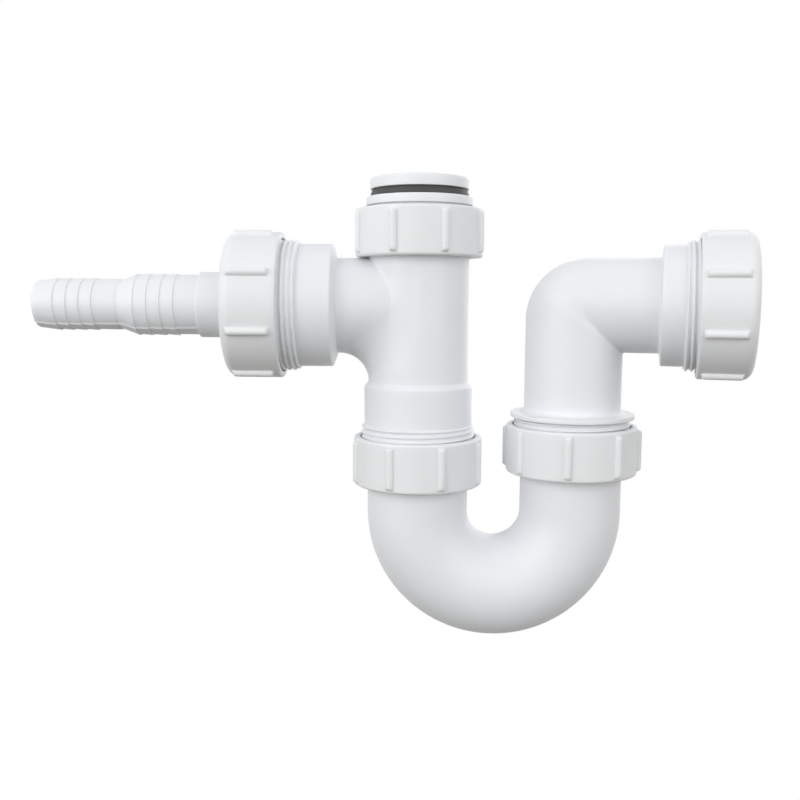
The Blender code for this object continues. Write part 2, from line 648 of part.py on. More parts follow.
def make_flange_seal(name, material, outer_radius, taper, top_drop, location, parent=None):
    """A rubber ring in a spigot's groove, from its top face down."""
    inner = GROOVE_RADIUS + SEAT_GAP
    height = GROOVE_HEIGHT - 2.0 * SEAT_GAP
    top = -top_drop - LIP_HEIGHT - SEAT_GAP
    profile = [
        (inner, top), (inner, top - height), (outer_radius, top - height), (outer_radius - taper, top),
    ]
    return turned(name, profile, material, location, parent=parent)


def make_nozzle_seal(material):
    """The flat rubber washer between the branch's rim and the nozzle's flange."""
    inner = NOZZLE_STEM_RADIUS
    outer = BRANCH_THREAD_ROOT - NOZZLE_FLANGE_INSET
    profile = [
        (inner, 0.0), (outer, 0.0), (outer, NOZZLE_SEAL_THICKNESS), (inner, NOZZLE_SEAL_THICKNESS),
    ]
    return turned("nozzle_seal", profile, material, (-NOZZLE_SEAL_START, 0.0, -BRANCH_DROP), TO_HOSE)


def make_outlet_seal(material, parent):
    """The wedge ring that the outlet nut drives into the socket's flared mouth."""
    back = OUTLET_SEAL_PROUD
    front = back - OUTLET_SEAL_LENGTH
    slope = MOUTH_FLARE / MOUTH_DEPTH
    cone_gap = SEAT_GAP * math.sqrt(1.0 + slope ** 2)
    inner = OUTLET_SOCKET_BORE
    front_radius = OUTLET_SOCKET_BORE + slope * (MOUTH_DEPTH + front) - cone_gap
    back_radius = MOUTH_RADIUS - cone_gap
    profile = [(inner, front), (front_radius, front), (back_radius, 0.0), (back_radius, back), (inner, back)]
    place = (OUTLET_REACH, 0.0, -ELBOW_AXIS_DROP)
    return turned("outlet_seal", profile, material, place, TO_WASTE, parent)


def make_slip_washer(material, parent):
    """The thrust ring that lets the outlet nut turn without dragging the seal."""
    outer = OUTLET_THREAD_RADIUS - SLIP_WASHER_INSET
    inner = OUTLET_SOCKET_BORE
    thickness = SLIP_WASHER_THICKNESS
    profile = [(inner, 0.0), (outer, 0.0), (outer, thickness), (inner, thickness)]
    place = (SLIP_WASHER_START, 0.0, -ELBOW_AXIS_DROP)
    return turned("outlet_slip_washer", profile, material, place, TO_WASTE, parent)


def build():
    """Build every piece of the trap and hang the moving ones on their axes."""
    clear_scene()
    body_white = make_material("body_white", (0.82, 0.83, 0.85), 0.34)
    nut_white = make_material("nut_white", (0.84, 0.84, 0.84), 0.38)
    washer_white = make_material("washer_white", (0.78, 0.79, 0.80), 0.45)
    rubber_black = make_material("rubber_black", (0.025, 0.026, 0.025), 0.62)

    bend_pivot = make_empty("bend_pivot", (0.0, 0.0, 0.0))
    elbow_pivot = make_empty("elbow_pivot", (SWIVEL_SPACING, 0.0, 0.0), (0.0, 0.0, -OUTLET_SWING))
    elbow_pivot.parent = bend_pivot

    make_tee(body_white)
    make_flange_seal(
        "inlet_seal", rubber_black, LIP_RADIUS + INLET_SEAL_PROUD, INLET_SEAL_TAPER, 0.0, (0.0, 0.0, 0.0),
    )
    make_nut(
        "inlet_nut", nut_white, SOCKET_THREAD_RADIUS, PIPE_RADIUS, INLET_NUT_HEIGHT, NUT_LIP,
        INLET_NUT_WALL, NUT_RIB_HEIGHT, NUT_EDGE, INLET_NUT_TURN, (0.0, 0.0, -INLET_NUT_DROP),
    )

    make_nozzle(body_white)
    make_nozzle_seal(rubber_black)
    make_nut(
        "nozzle_nut", nut_white, BRANCH_THREAD_RADIUS, NOZZLE_COLLAR_RADIUS, NOZZLE_NUT_HEIGHT,
        LARGE_NUT_LIP, LARGE_NUT_WALL, LARGE_NUT_RIB_HEIGHT, LARGE_NUT_DOME, NOZZLE_NUT_TURN,
        (NOZZLE_NUT_HEIGHT - NOZZLE_NUT_END, 0.0, -BRANCH_DROP), TO_WASTE,
    )

    make_u_bend(body_white, bend_pivot)
    leg_seal_radius = LEG_RADIUS + FLANGE_STEP - LEG_SEAL_INSET
    make_flange_seal(
        "u_inlet_seal", rubber_black, leg_seal_radius, 0.0, TEE_END_DROP - LIP_HEIGHT,
        (0.0, 0.0, 0.0), bend_pivot,
    )
    make_flange_seal(
        "u_outlet_seal", rubber_black, leg_seal_radius, 0.0, ELBOW_END_DROP - LIP_HEIGHT,
        (SWIVEL_SPACING, 0.0, 0.0), bend_pivot,
    )
    make_nut(
        "u_inlet_nut", nut_white, SOCKET_THREAD_RADIUS, LEG_RADIUS, NUT_HEIGHT, NUT_LIP, NUT_WALL,
        NUT_RIB_HEIGHT, NUT_EDGE, U_INLET_NUT_TURN, (0.0, 0.0, -U_INLET_NUT_DROP),
    )
    make_nut(
        "u_outlet_nut", nut_white, ELBOW_THREAD_RADIUS, LEG_RADIUS, NUT_HEIGHT, NUT_LIP,
        ELBOW_NUT_WALL, NUT_RIB_HEIGHT, NUT_EDGE, U_OUTLET_NUT_TURN,
        (0.0, 0.0, -U_OUTLET_NUT_DROP), parent=elbow_pivot,
    )

    make_elbow(body_white, elbow_pivot)
    make_outlet_seal(rubber_black, elbow_pivot)
    make_slip_washer(washer_white, elbow_pivot)
    make_nut(
        "outlet_nut", nut_white, OUTLET_THREAD_RADIUS, LEG_RADIUS, OUTLET_NUT_HEIGHT, LARGE_NUT_LIP,
        LARGE_NUT_WALL, LARGE_NUT_RIB_HEIGHT, LARGE_NUT_DOME, OUTLET_NUT_TURN,
        (OUTLET_NUT_END - OUTLET_NUT_HEIGHT, 0.0, -ELBOW_AXIS_DROP), TO_HOSE, elbow_pivot,
    )
    bpy.context.view_layer.update()


build()
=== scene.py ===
"""Dress the swivel P-trap: smooth mouldings, rounded edges, real threads and soft studio light.

Lengths are in metres and angles in radians, in the frame's own axes: +Z up, origin at the centre
of the inlet spigot's top face, hose nozzle towards -X, outlet towards +X and swung towards -Y.
A drop is a depth below the origin, and a reach a distance out from an upright axis.
"""

from __future__ import annotations

import json
import logging
import math
from collections.abc import Callable, Mapping, Sequence
from dataclasses import dataclass, replace
from enum import Enum
from functools import cache

import bmesh
import bpy
import numpy as np
from mathutils import Matrix, Vector

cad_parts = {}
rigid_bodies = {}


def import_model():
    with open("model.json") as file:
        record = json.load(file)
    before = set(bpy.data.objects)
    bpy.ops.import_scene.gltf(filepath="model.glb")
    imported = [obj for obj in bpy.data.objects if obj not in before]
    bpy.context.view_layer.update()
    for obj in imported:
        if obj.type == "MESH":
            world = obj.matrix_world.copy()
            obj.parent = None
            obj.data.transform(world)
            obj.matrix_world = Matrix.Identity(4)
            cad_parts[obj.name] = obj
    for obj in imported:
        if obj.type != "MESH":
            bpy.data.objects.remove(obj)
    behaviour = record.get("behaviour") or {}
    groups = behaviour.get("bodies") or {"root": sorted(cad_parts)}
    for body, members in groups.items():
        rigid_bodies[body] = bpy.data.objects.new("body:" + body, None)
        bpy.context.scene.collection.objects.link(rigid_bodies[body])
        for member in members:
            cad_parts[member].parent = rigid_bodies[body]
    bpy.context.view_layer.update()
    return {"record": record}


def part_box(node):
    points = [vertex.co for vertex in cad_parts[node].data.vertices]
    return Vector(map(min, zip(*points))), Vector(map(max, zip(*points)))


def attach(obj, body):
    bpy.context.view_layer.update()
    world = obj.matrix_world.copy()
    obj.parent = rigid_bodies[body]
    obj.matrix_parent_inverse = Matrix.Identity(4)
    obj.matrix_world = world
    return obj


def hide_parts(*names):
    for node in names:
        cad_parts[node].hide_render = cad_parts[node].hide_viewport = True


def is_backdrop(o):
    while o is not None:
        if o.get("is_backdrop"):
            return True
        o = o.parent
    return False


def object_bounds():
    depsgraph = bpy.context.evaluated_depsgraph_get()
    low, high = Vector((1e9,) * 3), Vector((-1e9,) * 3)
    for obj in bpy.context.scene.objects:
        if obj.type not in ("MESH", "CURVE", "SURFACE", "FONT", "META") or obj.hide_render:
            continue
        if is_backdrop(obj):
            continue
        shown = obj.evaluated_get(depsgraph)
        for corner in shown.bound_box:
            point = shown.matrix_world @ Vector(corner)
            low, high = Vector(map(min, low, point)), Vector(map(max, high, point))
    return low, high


LOG = logging.getLogger("p_trap")

Array = np.ndarray
Triple = tuple[float, float, float]
Relief = Callable[[Array, Array, Array], Array]
Softness = Callable[[Array], Array]

WELD_DISTANCE = 0.0000015
SHARP_ANGLE = math.radians(38.0)
FULL_TURN = 2.0 * math.pi
QUARTER_TURN = math.pi / 2

ORIGIN = (0.0, 0.0, 0.0)
LEFT = (-1.0, 0.0, 0.0)
RIGHT = (1.0, 0.0, 0.0)
DOWN = (0.0, 0.0, -1.0)
UP = (0.0, 0.0, 1.0)

WHITE = {"Color": (1.0, 1.0, 1.0, 1.0), "Strength": 1.0}
RAYS_THAT_SEE_WHITE = ("Is Camera Ray", "Is Glossy Ray", "Is Transmission Ray")


class Signal:
    """A number on a shader socket, which Python's operators combine through Math nodes."""

    def __init__(self, graph: Graph, socket: bpy.types.NodeSocket) -> None:
        """Wrap one output socket of a graph."""
        self.graph = graph
        self.socket = socket

    def _math(self, operation: str, first: Signal | float, second: Signal | float) -> Signal:
        """Add one Math node and return its result."""
        return self.graph.node("ShaderNodeMath", {"operation": operation}, {0: first, 1: second})

    def __add__(self, other: Signal | float) -> Signal:
        """Sum."""
        return self._math("ADD", self, other)

    def __radd__(self, other: float) -> Signal:
        """Sum with a number on the left."""
        return self._math("ADD", other, self)

    def __sub__(self, other: Signal | float) -> Signal:
        """Difference."""
        return self._math("SUBTRACT", self, other)

    def __rsub__(self, other: float) -> Signal:
        """Difference from a number on the left."""
        return self._math("SUBTRACT", other, self)

    def __mul__(self, other: Signal | float) -> Signal:
        """Product."""
        return self._math("MULTIPLY", self, other)

    def __rmul__(self, other: float) -> Signal:
        """Product with a number on the left."""
        return self._math("MULTIPLY", other, self)

    def at_most_one(self) -> Signal:
        """The smaller of the signal and 1."""
        return self._math("MINIMUM", self, 1.0)


@dataclass(frozen=True)
class Noise:
    """Soft noise: its waves in a metre, the octaves of finer noise and how strong those are."""

    scale: float
    detail: float = 3.0
    roughness: float = 0.5


class Graph:
    """A node tree under construction."""

    def __init__(self, tree: bpy.types.NodeTree) -> None:
        """Empty the tree of a material or world and start on it."""
        self.tree = tree
        tree.nodes.clear()

    def node(
        self,
        kind: str,
        settings: Mapping[str, object] | None = None,
        sockets: Mapping[str | int, object] | None = None,
        output: str | int = 0,
    ) -> Signal:
        """Add a node of any kind.

        Args:
            kind: The node's type name.
            settings: Its properties, set before its sockets.
            sockets: Values or signals for its inputs, by name or number.
            output: Which output to return.

        Returns:
            The chosen output.
        """
        node = self.tree.nodes.new(kind)
        for name, value in (settings or {}).items():
            setattr(node, name, value)
        for name, value in (sockets or {}).items():
            if isinstance(value, Signal):
                self.tree.links.new(value.socket, node.inputs[name])
            else:
                node.inputs[name].default_value = value
        return Signal(self, node.outputs[output] if len(node.outputs) else None)

    def noise(self, place: Signal, look: Noise) -> Signal:
        """Read soft noise, from 0 to 1, at a place.

        Args:
            place: The position.
            look: The kind of noise.

        Returns:
            The noise.
        """
        sockets = {
            "Vector": place, "Scale": look.scale, "Detail": look.detail, "Roughness": look.roughness
        }
        return self.node("ShaderNodeTexNoise", None, sockets, "Fac")

    def blend(self, share: Signal, low: Sequence[float], high: Sequence[float]) -> Signal:
        """Mix two colours, with a share of the second."""
        sockets = {0: share, 6: (*low, 1.0), 7: (*high, 1.0)}
        return self.node("ShaderNodeMix", {"data_type": "RGBA"}, sockets, 2)


@dataclass(frozen=True)
class MouldedFinish:
    """The skin that a material takes from its mould: cloudy colour, uneven gloss, faint waves."""

    name: str
    slot: str
    pale: Triple
    deep: Triple
    roughness: float
    gloss_swing: float
    grain_depth: float
    wave_depth: float
    glow: float = 0.25
    glow_radius: float = 0.0022
    glow_tint: Triple = (1.0, 0.95, 0.9)
    cloud: Noise = Noise(24.0)
    gloss: Noise = Noise(65.0, roughness=0.6)
    grain: Noise = Noise(1500.0, 2.0, 0.6)
    wave: Noise = Noise(110.0, 1.0)

    def material(self) -> bpy.types.Material:
        """Build the finish as a node material.

        Returns:
            The new material.
        """
        material = bpy.data.materials.new(self.name)
        material.use_nodes = True
        graph = Graph(material.node_tree)
        place = graph.node("ShaderNodeTexCoord", None, None, "Object")
        gloss, wave, grain = (
            graph.noise(place, look) for look in (self.gloss, self.wave, self.grain)
        )
        height = wave * self.wave_depth + grain * self.grain_depth
        bump = {"Height": height, "Distance": 1.0, "Strength": 1.0}
        shader = {
            "Base Color": graph.blend(graph.noise(place, self.cloud), self.deep, self.pale),
            "Roughness": self.roughness + (gloss - 0.5) * self.gloss_swing,
            "Normal": graph.node("ShaderNodeBump", None, bump),
            "Metallic": 0.0,
            "Subsurface Weight": self.glow,
            "Subsurface Radius": self.glow_tint,
            "Subsurface Scale": self.glow_radius,
        }
        surface = graph.node("ShaderNodeBsdfPrincipled", None, shader)
        graph.node("ShaderNodeOutputMaterial", None, {"Surface": surface})
        return material


class Finish(Enum):
    """The materials that the trap is moulded in."""

    BODY = MouldedFinish(
        "body_plastic", "body_white", (0.815, 0.832, 0.852), (0.785, 0.802, 0.826),
        roughness=0.42, gloss_swing=0.10, grain_depth=0.000004, wave_depth=0.00004,
    )
    NUT = MouldedFinish(
        "nut_plastic", "nut_white", (0.805, 0.818, 0.828), (0.780, 0.792, 0.802),
        roughness=0.46, gloss_swing=0.10, grain_depth=0.000006, wave_depth=0.00003,
    )
    WASHER = MouldedFinish(
        "washer_plastic", "washer_white", (0.78, 0.79, 0.80), (0.74, 0.75, 0.76),
        roughness=0.50, gloss_swing=0.08, grain_depth=0.000006, wave_depth=0.00002, glow=0.10,
    )
    RUBBER = MouldedFinish(
        "seal_rubber", "rubber_black", (0.046, 0.048, 0.046), (0.030, 0.031, 0.030),
        roughness=0.52, gloss_swing=0.22, grain_depth=0.000015, wave_depth=0.00003, glow=0.0,
        cloud=Noise(160.0), gloss=Noise(400.0, roughness=0.6), grain=Noise(2200.0, 2.0, 0.6),
        wave=Noise(300.0, 1.0),
    )

    @cache
    def material(self) -> bpy.types.Material:
        """Its material, which is made when it is first asked for."""
        return self.value.material()


ARC_STEPS = 5
ARC_SHARE = 0.48
LONGEST_RUN = 0.0016


def arc(before: Array, corner: Array, after: Array, rounding: float) -> list[Array]:
    """Replace a corner by an arc that touches both its lines.

    Args:
        before: The point before the corner.
        corner: The corner.
        after: The point after it.
        rounding: The arc's radius, which short lines can reduce.

    Returns:
        The arc's points.
    """
    spans = [before - corner, after - corner]
    lengths = [float(np.linalg.norm(span)) for span in spans]
    ways = [span / length for span, length in zip(spans, lengths)]
    half = math.acos(max(-1.0, min(1.0, float(ways[0] @ ways[1])))) / 2
    reach = min(rounding / math.tan(half), ARC_SHARE * min(lengths))
    middle = (ways[0] + ways[1]) / np.linalg.norm(ways[0] + ways[1])
    centre = corner + middle * reach / math.cos(half)
    start, end = (corner + way * reach - centre for way in ways)
    turn = math.pi - 2.0 * half
    points = []
    for step in range(ARC_STEPS + 1):
        share = step / ARC_STEPS
        swept = start * math.sin((1.0 - share) * turn) + end * math.sin(share * turn)
        points.append(centre + swept / math.sin(turn))
    return points


def outline(*corners: tuple[float, ...]) -> Array:
    """Draw the outline of a turned shape, with long runs divided.

    Args:
        corners: Its corners in order: radius, distance along the axis, and the radius of a round.

    Returns:
        Its (radius, distance) points.
    """
    places = [np.array(corner[:2]) for corner in corners]
    drawn = [places[0]]
    for index in range(1, len(corners) - 1):
        rounds = corners[index][2:]
        drawn += arc(*places[index - 1 : index + 2], *rounds) if rounds else [places[index]]
    drawn.append(places[-1])
    divided = [drawn[0]]
    for start, end in zip(drawn, drawn[1:]):
        runs = max(1, math.ceil(float(np.linalg.norm(end - start)) / LONGEST_RUN))
        divided += [start + (end - start) * step / runs for step in range(1, runs + 1)]
    return np.array(divided)


@dataclass(frozen=True)
class Axis:
    """A straight axis that a shape is turned about; angles run right-handed from zero."""

    origin: Triple
    along: Triple
    zero: Triple

    def place(self, radius: Array, angle: Array, distance: Array) -> Array:
        """Turn cylinder coordinates into points.

        Args:
            radius: Distances from the axis.
            angle: Angles about it.
            distance: Distances along it.

        Returns:
            The points, with x, y and z last.
        """
        radius, angle, distance = np.broadcast_arrays(radius, angle, distance)
        side = np.cross(self.along, self.zero)
        spread = np.cos(angle)[..., None] * self.zero + np.sin(angle)[..., None] * side
        return self.origin + radius[..., None] * spread + distance[..., None] * self.along

    def moved(self, distance: float) -> Axis:
        """The same axis, with its origin further along it."""
        return replace(self, origin=tuple(np.add(self.origin, np.multiply(distance, self.along))))

    def turned(self, profile: Array, angles: Array, relief: Relief | None = None) -> Array:
        """Turn an outline about the axis.

        Args:
            profile: Its (radius, distance) points.
            angles: The columns' angles, the first repeated at the end.
            relief: What stands out from the turned surface, by radius, angle and distance.

        Returns:
            Rows of points, one row for each outline point.
        """
        radius, distance = profile[:, :1], profile[:, 1:]
        if relief is not None:
            radius = radius + relief(radius, angles, distance)
        return self.place(radius, angles, distance)


def even_angles(count: int, start: float = 0.0) -> Array:
    """Equal steps round an axis, with the first angle repeated a turn later."""
    return start + FULL_TURN * np.arange(count + 1) / count


def between(first: Array, last: Array, count: int) -> Array:
    """Even rows from one row of points to another, both included."""
    shares = np.linspace(0.0, 1.0, count + 1)[:, None, None]
    return first * (1.0 - shares) + last * shares


def ramp(value: Array, none: float, full: float) -> Array:
    """A smooth rise from 0, where the value is none, to 1, where it is full."""
    share = np.clip((value - none) / (full - none), 0.0, 1.0)
    return share * share * (3.0 - 2.0 * share)


def relax(mesh: bpy.types.Mesh, soft: Softness, rounds: int = 400, pull: float = 0.5) -> None:
    """Blend a mesh's creases by drawing points to the middle of their neighbours.

    Args:
        mesh: The mesh to change.
        soft: How much each point may move, from its position.
        rounds: How many times the points are evened out.
        pull: How far a point moves each time, at a share of 1.
    """
    points = np.empty(3 * len(mesh.vertices))
    mesh.vertices.foreach_get("co", points)
    points = points.reshape(-1, 3)
    edges = np.empty(2 * len(mesh.edges), dtype=np.int32)
    mesh.edges.foreach_get("vertices", edges)
    edges = edges.reshape(-1, 2)
    share = pull * soft(points)[:, None]
    edges = edges[share[edges, 0].max(axis=1) > 0.0]
    first, second = edges.T
    count = len(points)
    neighbours = np.maximum(np.bincount(edges.ravel(), minlength=count), 1)[:, None]
    for _ in range(rounds):
        total = [
            np.bincount(first, place[second], count) + np.bincount(second, place[first], count)
            for place in points.T
        ]
        points = points + share * (np.transpose(total) / neighbours - points)
    mesh.vertices.foreach_set("co", points.ravel())
    mesh.update()


def add_object(name: str, data: bpy.types.ID) -> bpy.types.Object:
    """Put new data into the scene.

    Args:
        name: The object's name.
        data: Its mesh, lamp or camera.

    Returns:
        The new object.
    """
    item = bpy.data.objects.new(name, data)
    bpy.context.scene.collection.objects.link(item)
    return item


class Skin:
    """A closed surface made of strips of point rows, welded where they meet."""

    def __init__(self, name: str, *strips: Sequence[Array]) -> None:
        """Take the strips, each as blocks of rows that follow each other."""
        self.name = name
        self.strips = [np.concatenate(blocks) for blocks in strips]

    def _faces(self) -> list[list[int]]:
        """Join each strip's neighbouring points.

        Returns:
            Four point numbers for each face.
        """
        faces = []
        start = 0
        for strip in self.strips:
            rows, columns = strip.shape[:2]
            index = start + np.arange(rows * columns).reshape(rows, columns)
            corners = (index[:-1, :-1], index[:-1, 1:], index[1:, 1:], index[1:, :-1])
            faces.append(np.stack(corners, axis=-1).reshape(-1, 4))
            start += rows * columns
        return np.concatenate(faces).tolist()

    def build(
        self, finish: Finish, place: Matrix | None = None, soft: Softness | None = None
    ) -> bpy.types.Object:
        """Make the mesh object.

        Args:
            finish: The material it is moulded in.
            place: Where the surface's own axes stand in the frame.
            soft: How much each point's surroundings are blended.

        Returns:
            The new object, whose points are in the frame's axes.
        """
        points = np.concatenate([strip.reshape(-1, 3) for strip in self.strips])
        mesh = bpy.data.meshes.new(self.name)
        mesh.from_pydata(points.tolist(), [], self._faces())
        if place is not None:
            mesh.transform(place)
        draft = bmesh.new()
        draft.from_mesh(mesh)
        bmesh.ops.remove_doubles(draft, verts=draft.verts, dist=WELD_DISTANCE)
        loose = [edge for edge in draft.edges if not edge.link_faces]
        bmesh.ops.delete(draft, geom=loose, context="EDGES")
        bmesh.ops.recalc_face_normals(draft, faces=draft.faces)
        if draft.calc_volume(signed=True) < 0.0:
            bmesh.ops.reverse_faces(draft, faces=draft.faces)
        open_edges = sum(1 for edge in draft.edges if not edge.is_manifold)
        draft.to_mesh(mesh)
        draft.free()
        if soft is not None:
            relax(mesh, soft)
        mesh.shade_smooth()
        mesh.set_sharp_from_angle(angle=SHARP_ANGLE)
        mesh.materials.append(finish.material())
        LOG.info("%s: %d faces, %d open edges", self.name, len(mesh.polygons), open_edges)
        return add_object(self.name, mesh)


@dataclass(frozen=True)
class Thread:
    """A right-handed thread with rounded ridges, which fades in and out at its ends."""

    root: float
    start: float
    length: float
    pitch: float = 0.0023
    depth: float = 0.0011
    runout: float = 0.0008
    inward: bool = False
    ridge_power: float = 0.75
    rows_per_pitch: int = 18

    def _relief(self, radius: Array, angle: Array, distance: Array) -> Array:
        """How far the ridges stand out from the bare cylinder.

        Args:
            radius: The cylinder's radius.
            angle: Angles about the axis.
            distance: Distances along it.

        Returns:
            The offset in radius.
        """
        travel = distance - self.start
        phase = travel / self.pitch - angle / FULL_TURN
        ridge = (0.5 - 0.5 * np.cos(FULL_TURN * phase)) ** self.ridge_power
        ends = np.minimum(travel, self.length - travel) / self.runout
        height = self.depth * ridge * np.clip(ends, 0.0, 1.0) + 0.0 * radius
        return -height if self.inward else height

    def turned(self, axis: Axis, angles: Array) -> Array:
        """Turn the thread about an axis.

        Args:
            axis: The axis.
            angles: The columns' angles.

        Returns:
            Rows of points, close enough to show the ridges.
        """
        rows = math.ceil(self.rows_per_pitch * self.length / self.pitch)
        distances = self.start + self.length * np.arange(rows + 1) / rows
        cylinder = np.stack([np.full(rows + 1, self.root), distances], axis=1)
        return axis.turned(cylinder, angles, self._relief)


@dataclass(frozen=True)
class Spigot:
    """A flanged spigot: lip, seal groove and flange at the end of a pipe."""

    pipe_radius: float
    bore: float
    lip_radius: float = 0.0206
    lip_height: float = 0.0047
    lip_round: float = 0.0011
    groove_depth: float = 0.0020
    groove_height: float = 0.0032
    wall: float = 0.0018
    flange_step: float = 0.0012
    flange_height: float = 0.0036
    flange_round: float = 0.0006
    bore_taper: float = 0.0040
    small_round: float = 0.00025

    @property
    def groove_radius(self) -> float:
        """Radius of the groove's floor."""
        return self.lip_radius - self.groove_depth

    @property
    def height(self) -> float:
        """Height of lip, groove and flange together."""
        return self.lip_height + self.groove_height + self.flange_height

    def outside(self, top: float, end: float) -> Array:
        """The outline from the rim's inner edge out and down to the pipe.

        Args:
            top: Distance of the rim.
            end: Distance at which the pipe's outline ends.

        Returns:
            The outline's points.
        """
        groove, small = self.groove_radius, self.small_round
        groove_top = top + self.lip_height
        flange_top = groove_top + self.groove_height
        flange_end = flange_top + self.flange_height
        flange = self.pipe_radius + self.flange_step
        return outline(
            (groove - self.wall + small, top),
            (self.lip_radius, top, self.lip_round), (self.lip_radius, groove_top, small),
            (groove, groove_top, small), (groove, flange_top, small),
            (flange, flange_top, self.flange_round), (flange, flange_end, small),
            (self.pipe_radius, flange_end, small), (self.pipe_radius, end),
        )

    def inside(self, top: float, end: float) -> Array:
        """The outline from the pipe's bore up to the rim's inner edge.

        Args:
            top: Distance of the rim.
            end: Distance at which the bore's outline starts.

        Returns:
            The outline's points.
        """
        throat = top + self.height
        inner, small = self.groove_radius - self.wall, self.small_round
        return outline(
            (self.bore, end), (self.bore, throat + self.bore_taper, self.flange_round),
            (inner, throat, self.flange_round), (inner, top, small), (inner + small, top),
        )


@dataclass(frozen=True)
class Layout:
    """Where the pieces stand, read from the frame."""

    tee_end: float
    branch_reach: float
    branch_drop: float
    nozzle_start: float
    nozzle_tip: float
    spacing: float
    bend_bottom: float
    elbow_end: float
    outlet_drop: float
    outlet_swing: float
    washer_reach: float

    @classmethod
    def read(cls) -> Layout:
        """Measure the frame's nodes.

        Returns:
            The layout.
        """
        tee_low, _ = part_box("tee_body")
        nozzle_low, nozzle_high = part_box("hose_nozzle")
        seal_low, seal_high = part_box("nozzle_seal")
        ring_low, ring_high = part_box("u_outlet_seal")
        washer = sum(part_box("outlet_slip_washer"), Vector()) / 2
        spacing = (ring_low.x + ring_high.x) / 2
        across = washer.x - spacing
        return cls(
            tee_end=-tee_low.z,
            branch_reach=-tee_low.x,
            branch_drop=-(seal_low.z + seal_high.z) / 2,
            nozzle_start=-nozzle_high.x,
            nozzle_tip=-nozzle_low.x,
            spacing=spacing,
            bend_bottom=-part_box("u_bend")[0].z,
            elbow_end=-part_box("outlet_elbow")[0].z,
            outlet_drop=-washer.z,
            outlet_swing=-math.atan2(washer.y, across),
            washer_reach=math.hypot(across, washer.y),
        )

    @property
    def branch_axis(self) -> Axis:
        """The side branch's axis, from the upright pipe out to the hose."""
        return Axis((0.0, 0.0, -self.branch_drop), LEFT, UP)

    @property
    def outlet_axis(self) -> Axis:
        """The outlet's axis, from the elbow's swivel out."""
        forward = (math.cos(self.outlet_swing), -math.sin(self.outlet_swing), 0.0)
        return Axis((self.spacing, 0.0, -self.outlet_drop), forward, UP)

    @property
    def elbow_place(self) -> Matrix:
        """Where the elbow's own axes stand: on its swivel, swung to the side."""
        swing = Matrix.Rotation(-self.outlet_swing, 4, "Z")
        return Matrix.Translation((self.spacing, 0.0, 0.0)) @ swing


@dataclass(frozen=True)
class Saddle:
    """Where a branch's surface meets the pipe's: a crease on top, a sweep below."""

    pipe: float
    branch: float
    drop: float
    sweep: float
    crease: float = 0.0009
    side_round: float = 0.0065
    side_rise: tuple[float, float] = (0.75, 0.3)
    growth: float = 0.5
    blend_reach: tuple[float, float] = (0.0125, 0.00375)
    blend_top: tuple[float, float] = (0.8, 0.5)
    blend_foot: tuple[float, float] = (-1.6, -1.1)
    blend_side: tuple[float, float] = (0.3, 0.7)
    blend_back: tuple[float, float] = (-0.05, -0.25)
    skin_depth: float = 0.0008
    columns_across: int = 72
    rows: int = 24

    @property
    def across(self) -> Array:
        """Angles round half the branch, from one of its sides to the other."""
        return np.linspace(-QUARTER_TURN, QUARTER_TURN, self.columns_across + 1)

    @property
    def columns(self) -> Array:
        """Angles round the pipe, which meet the branch's points in front.

        Returns:
            One angle for each point across the branch, then those of the back.
        """
        front = np.arcsin(self.branch * np.sin(self.across) / self.pipe)
        back = np.linspace(front[-1], FULL_TURN + front[0], self.columns_across + 1)
        return np.concatenate([front, back[1:]])

    @property
    def around(self) -> Array:
        """Angles round the branch, of the points that those columns meet."""
        return even_angles(2 * self.columns_across, -QUARTER_TURN)

    def _fillet(self, rise: Array) -> Array:
        """Radius of the round: least on top, wider at the sides, and the sweep below.

        Args:
            rise: Height of each point round the branch, from 1 on top to -1 below.

        Returns:
            The radii.
        """
        sides = self.side_round * ramp(rise, *self.side_rise) * np.maximum(0.0, rise) ** self.growth
        below = self.sweep * np.maximum(0.0, -rise) ** self.growth
        return self.crease * np.abs(rise) + sides + below

    def softness(self, points: Array) -> Array:
        """How much each point is softened: only where the branch's sides meet the pipe.

        Args:
            points: Points of the moulding.

        Returns:
            A share for each point.
        """
        along, across, height = (points + (0.0, 0.0, self.drop)).T
        over_pipe = np.hypot(along, across) - self.pipe
        over_branch = np.hypot(across, height) - self.branch
        share = ramp(np.maximum(over_pipe, over_branch), *self.blend_reach)
        for place, ends in (
            (height, self.blend_top), (height, self.blend_foot),
            (np.abs(across), self.blend_side), (along, self.blend_back),
        ):
            share *= ramp(place / self.branch, *ends)
        return share * (np.minimum(over_pipe, over_branch) > -self.skin_depth)

    def root(self) -> Array:
        """The branch's root.

        Returns:
            Rows round it, from the branch's line to the pipe's wall.
        """
        rise = np.cos(self.around)
        fillet = self._fillet(rise)
        turn = np.linspace(0.0, QUARTER_TURN, self.rows + 1)[:, None]
        side = self.branch * np.sin(self.around) + 0.0 * turn
        reach = np.sqrt(self.pipe**2 - side**2) + fillet * (1.0 - np.sin(turn))
        step = fillet * (1.0 - np.cos(turn)) * np.where(rise > 0.0, -1.0, 1.0)
        return np.stack([-reach, side, self.branch * rise - self.drop - step], axis=-1)

    def waist(self, way: float) -> Array:
        """The pipe's row that runs along the upper or lower edge of the branch's root.

        Args:
            way: 1 for the upper edge, -1 for the lower.

        Returns:
            The row's points.
        """
        rise = np.maximum(0.0, np.cos(self.across))
        drops = np.full(2 * self.columns_across + 1, self.drop)
        drops[: len(rise)] -= way * (self.branch * rise + self._fillet(way * rise))
        return Axis(ORIGIN, DOWN, LEFT).place(np.array(self.pipe), self.columns, drops)


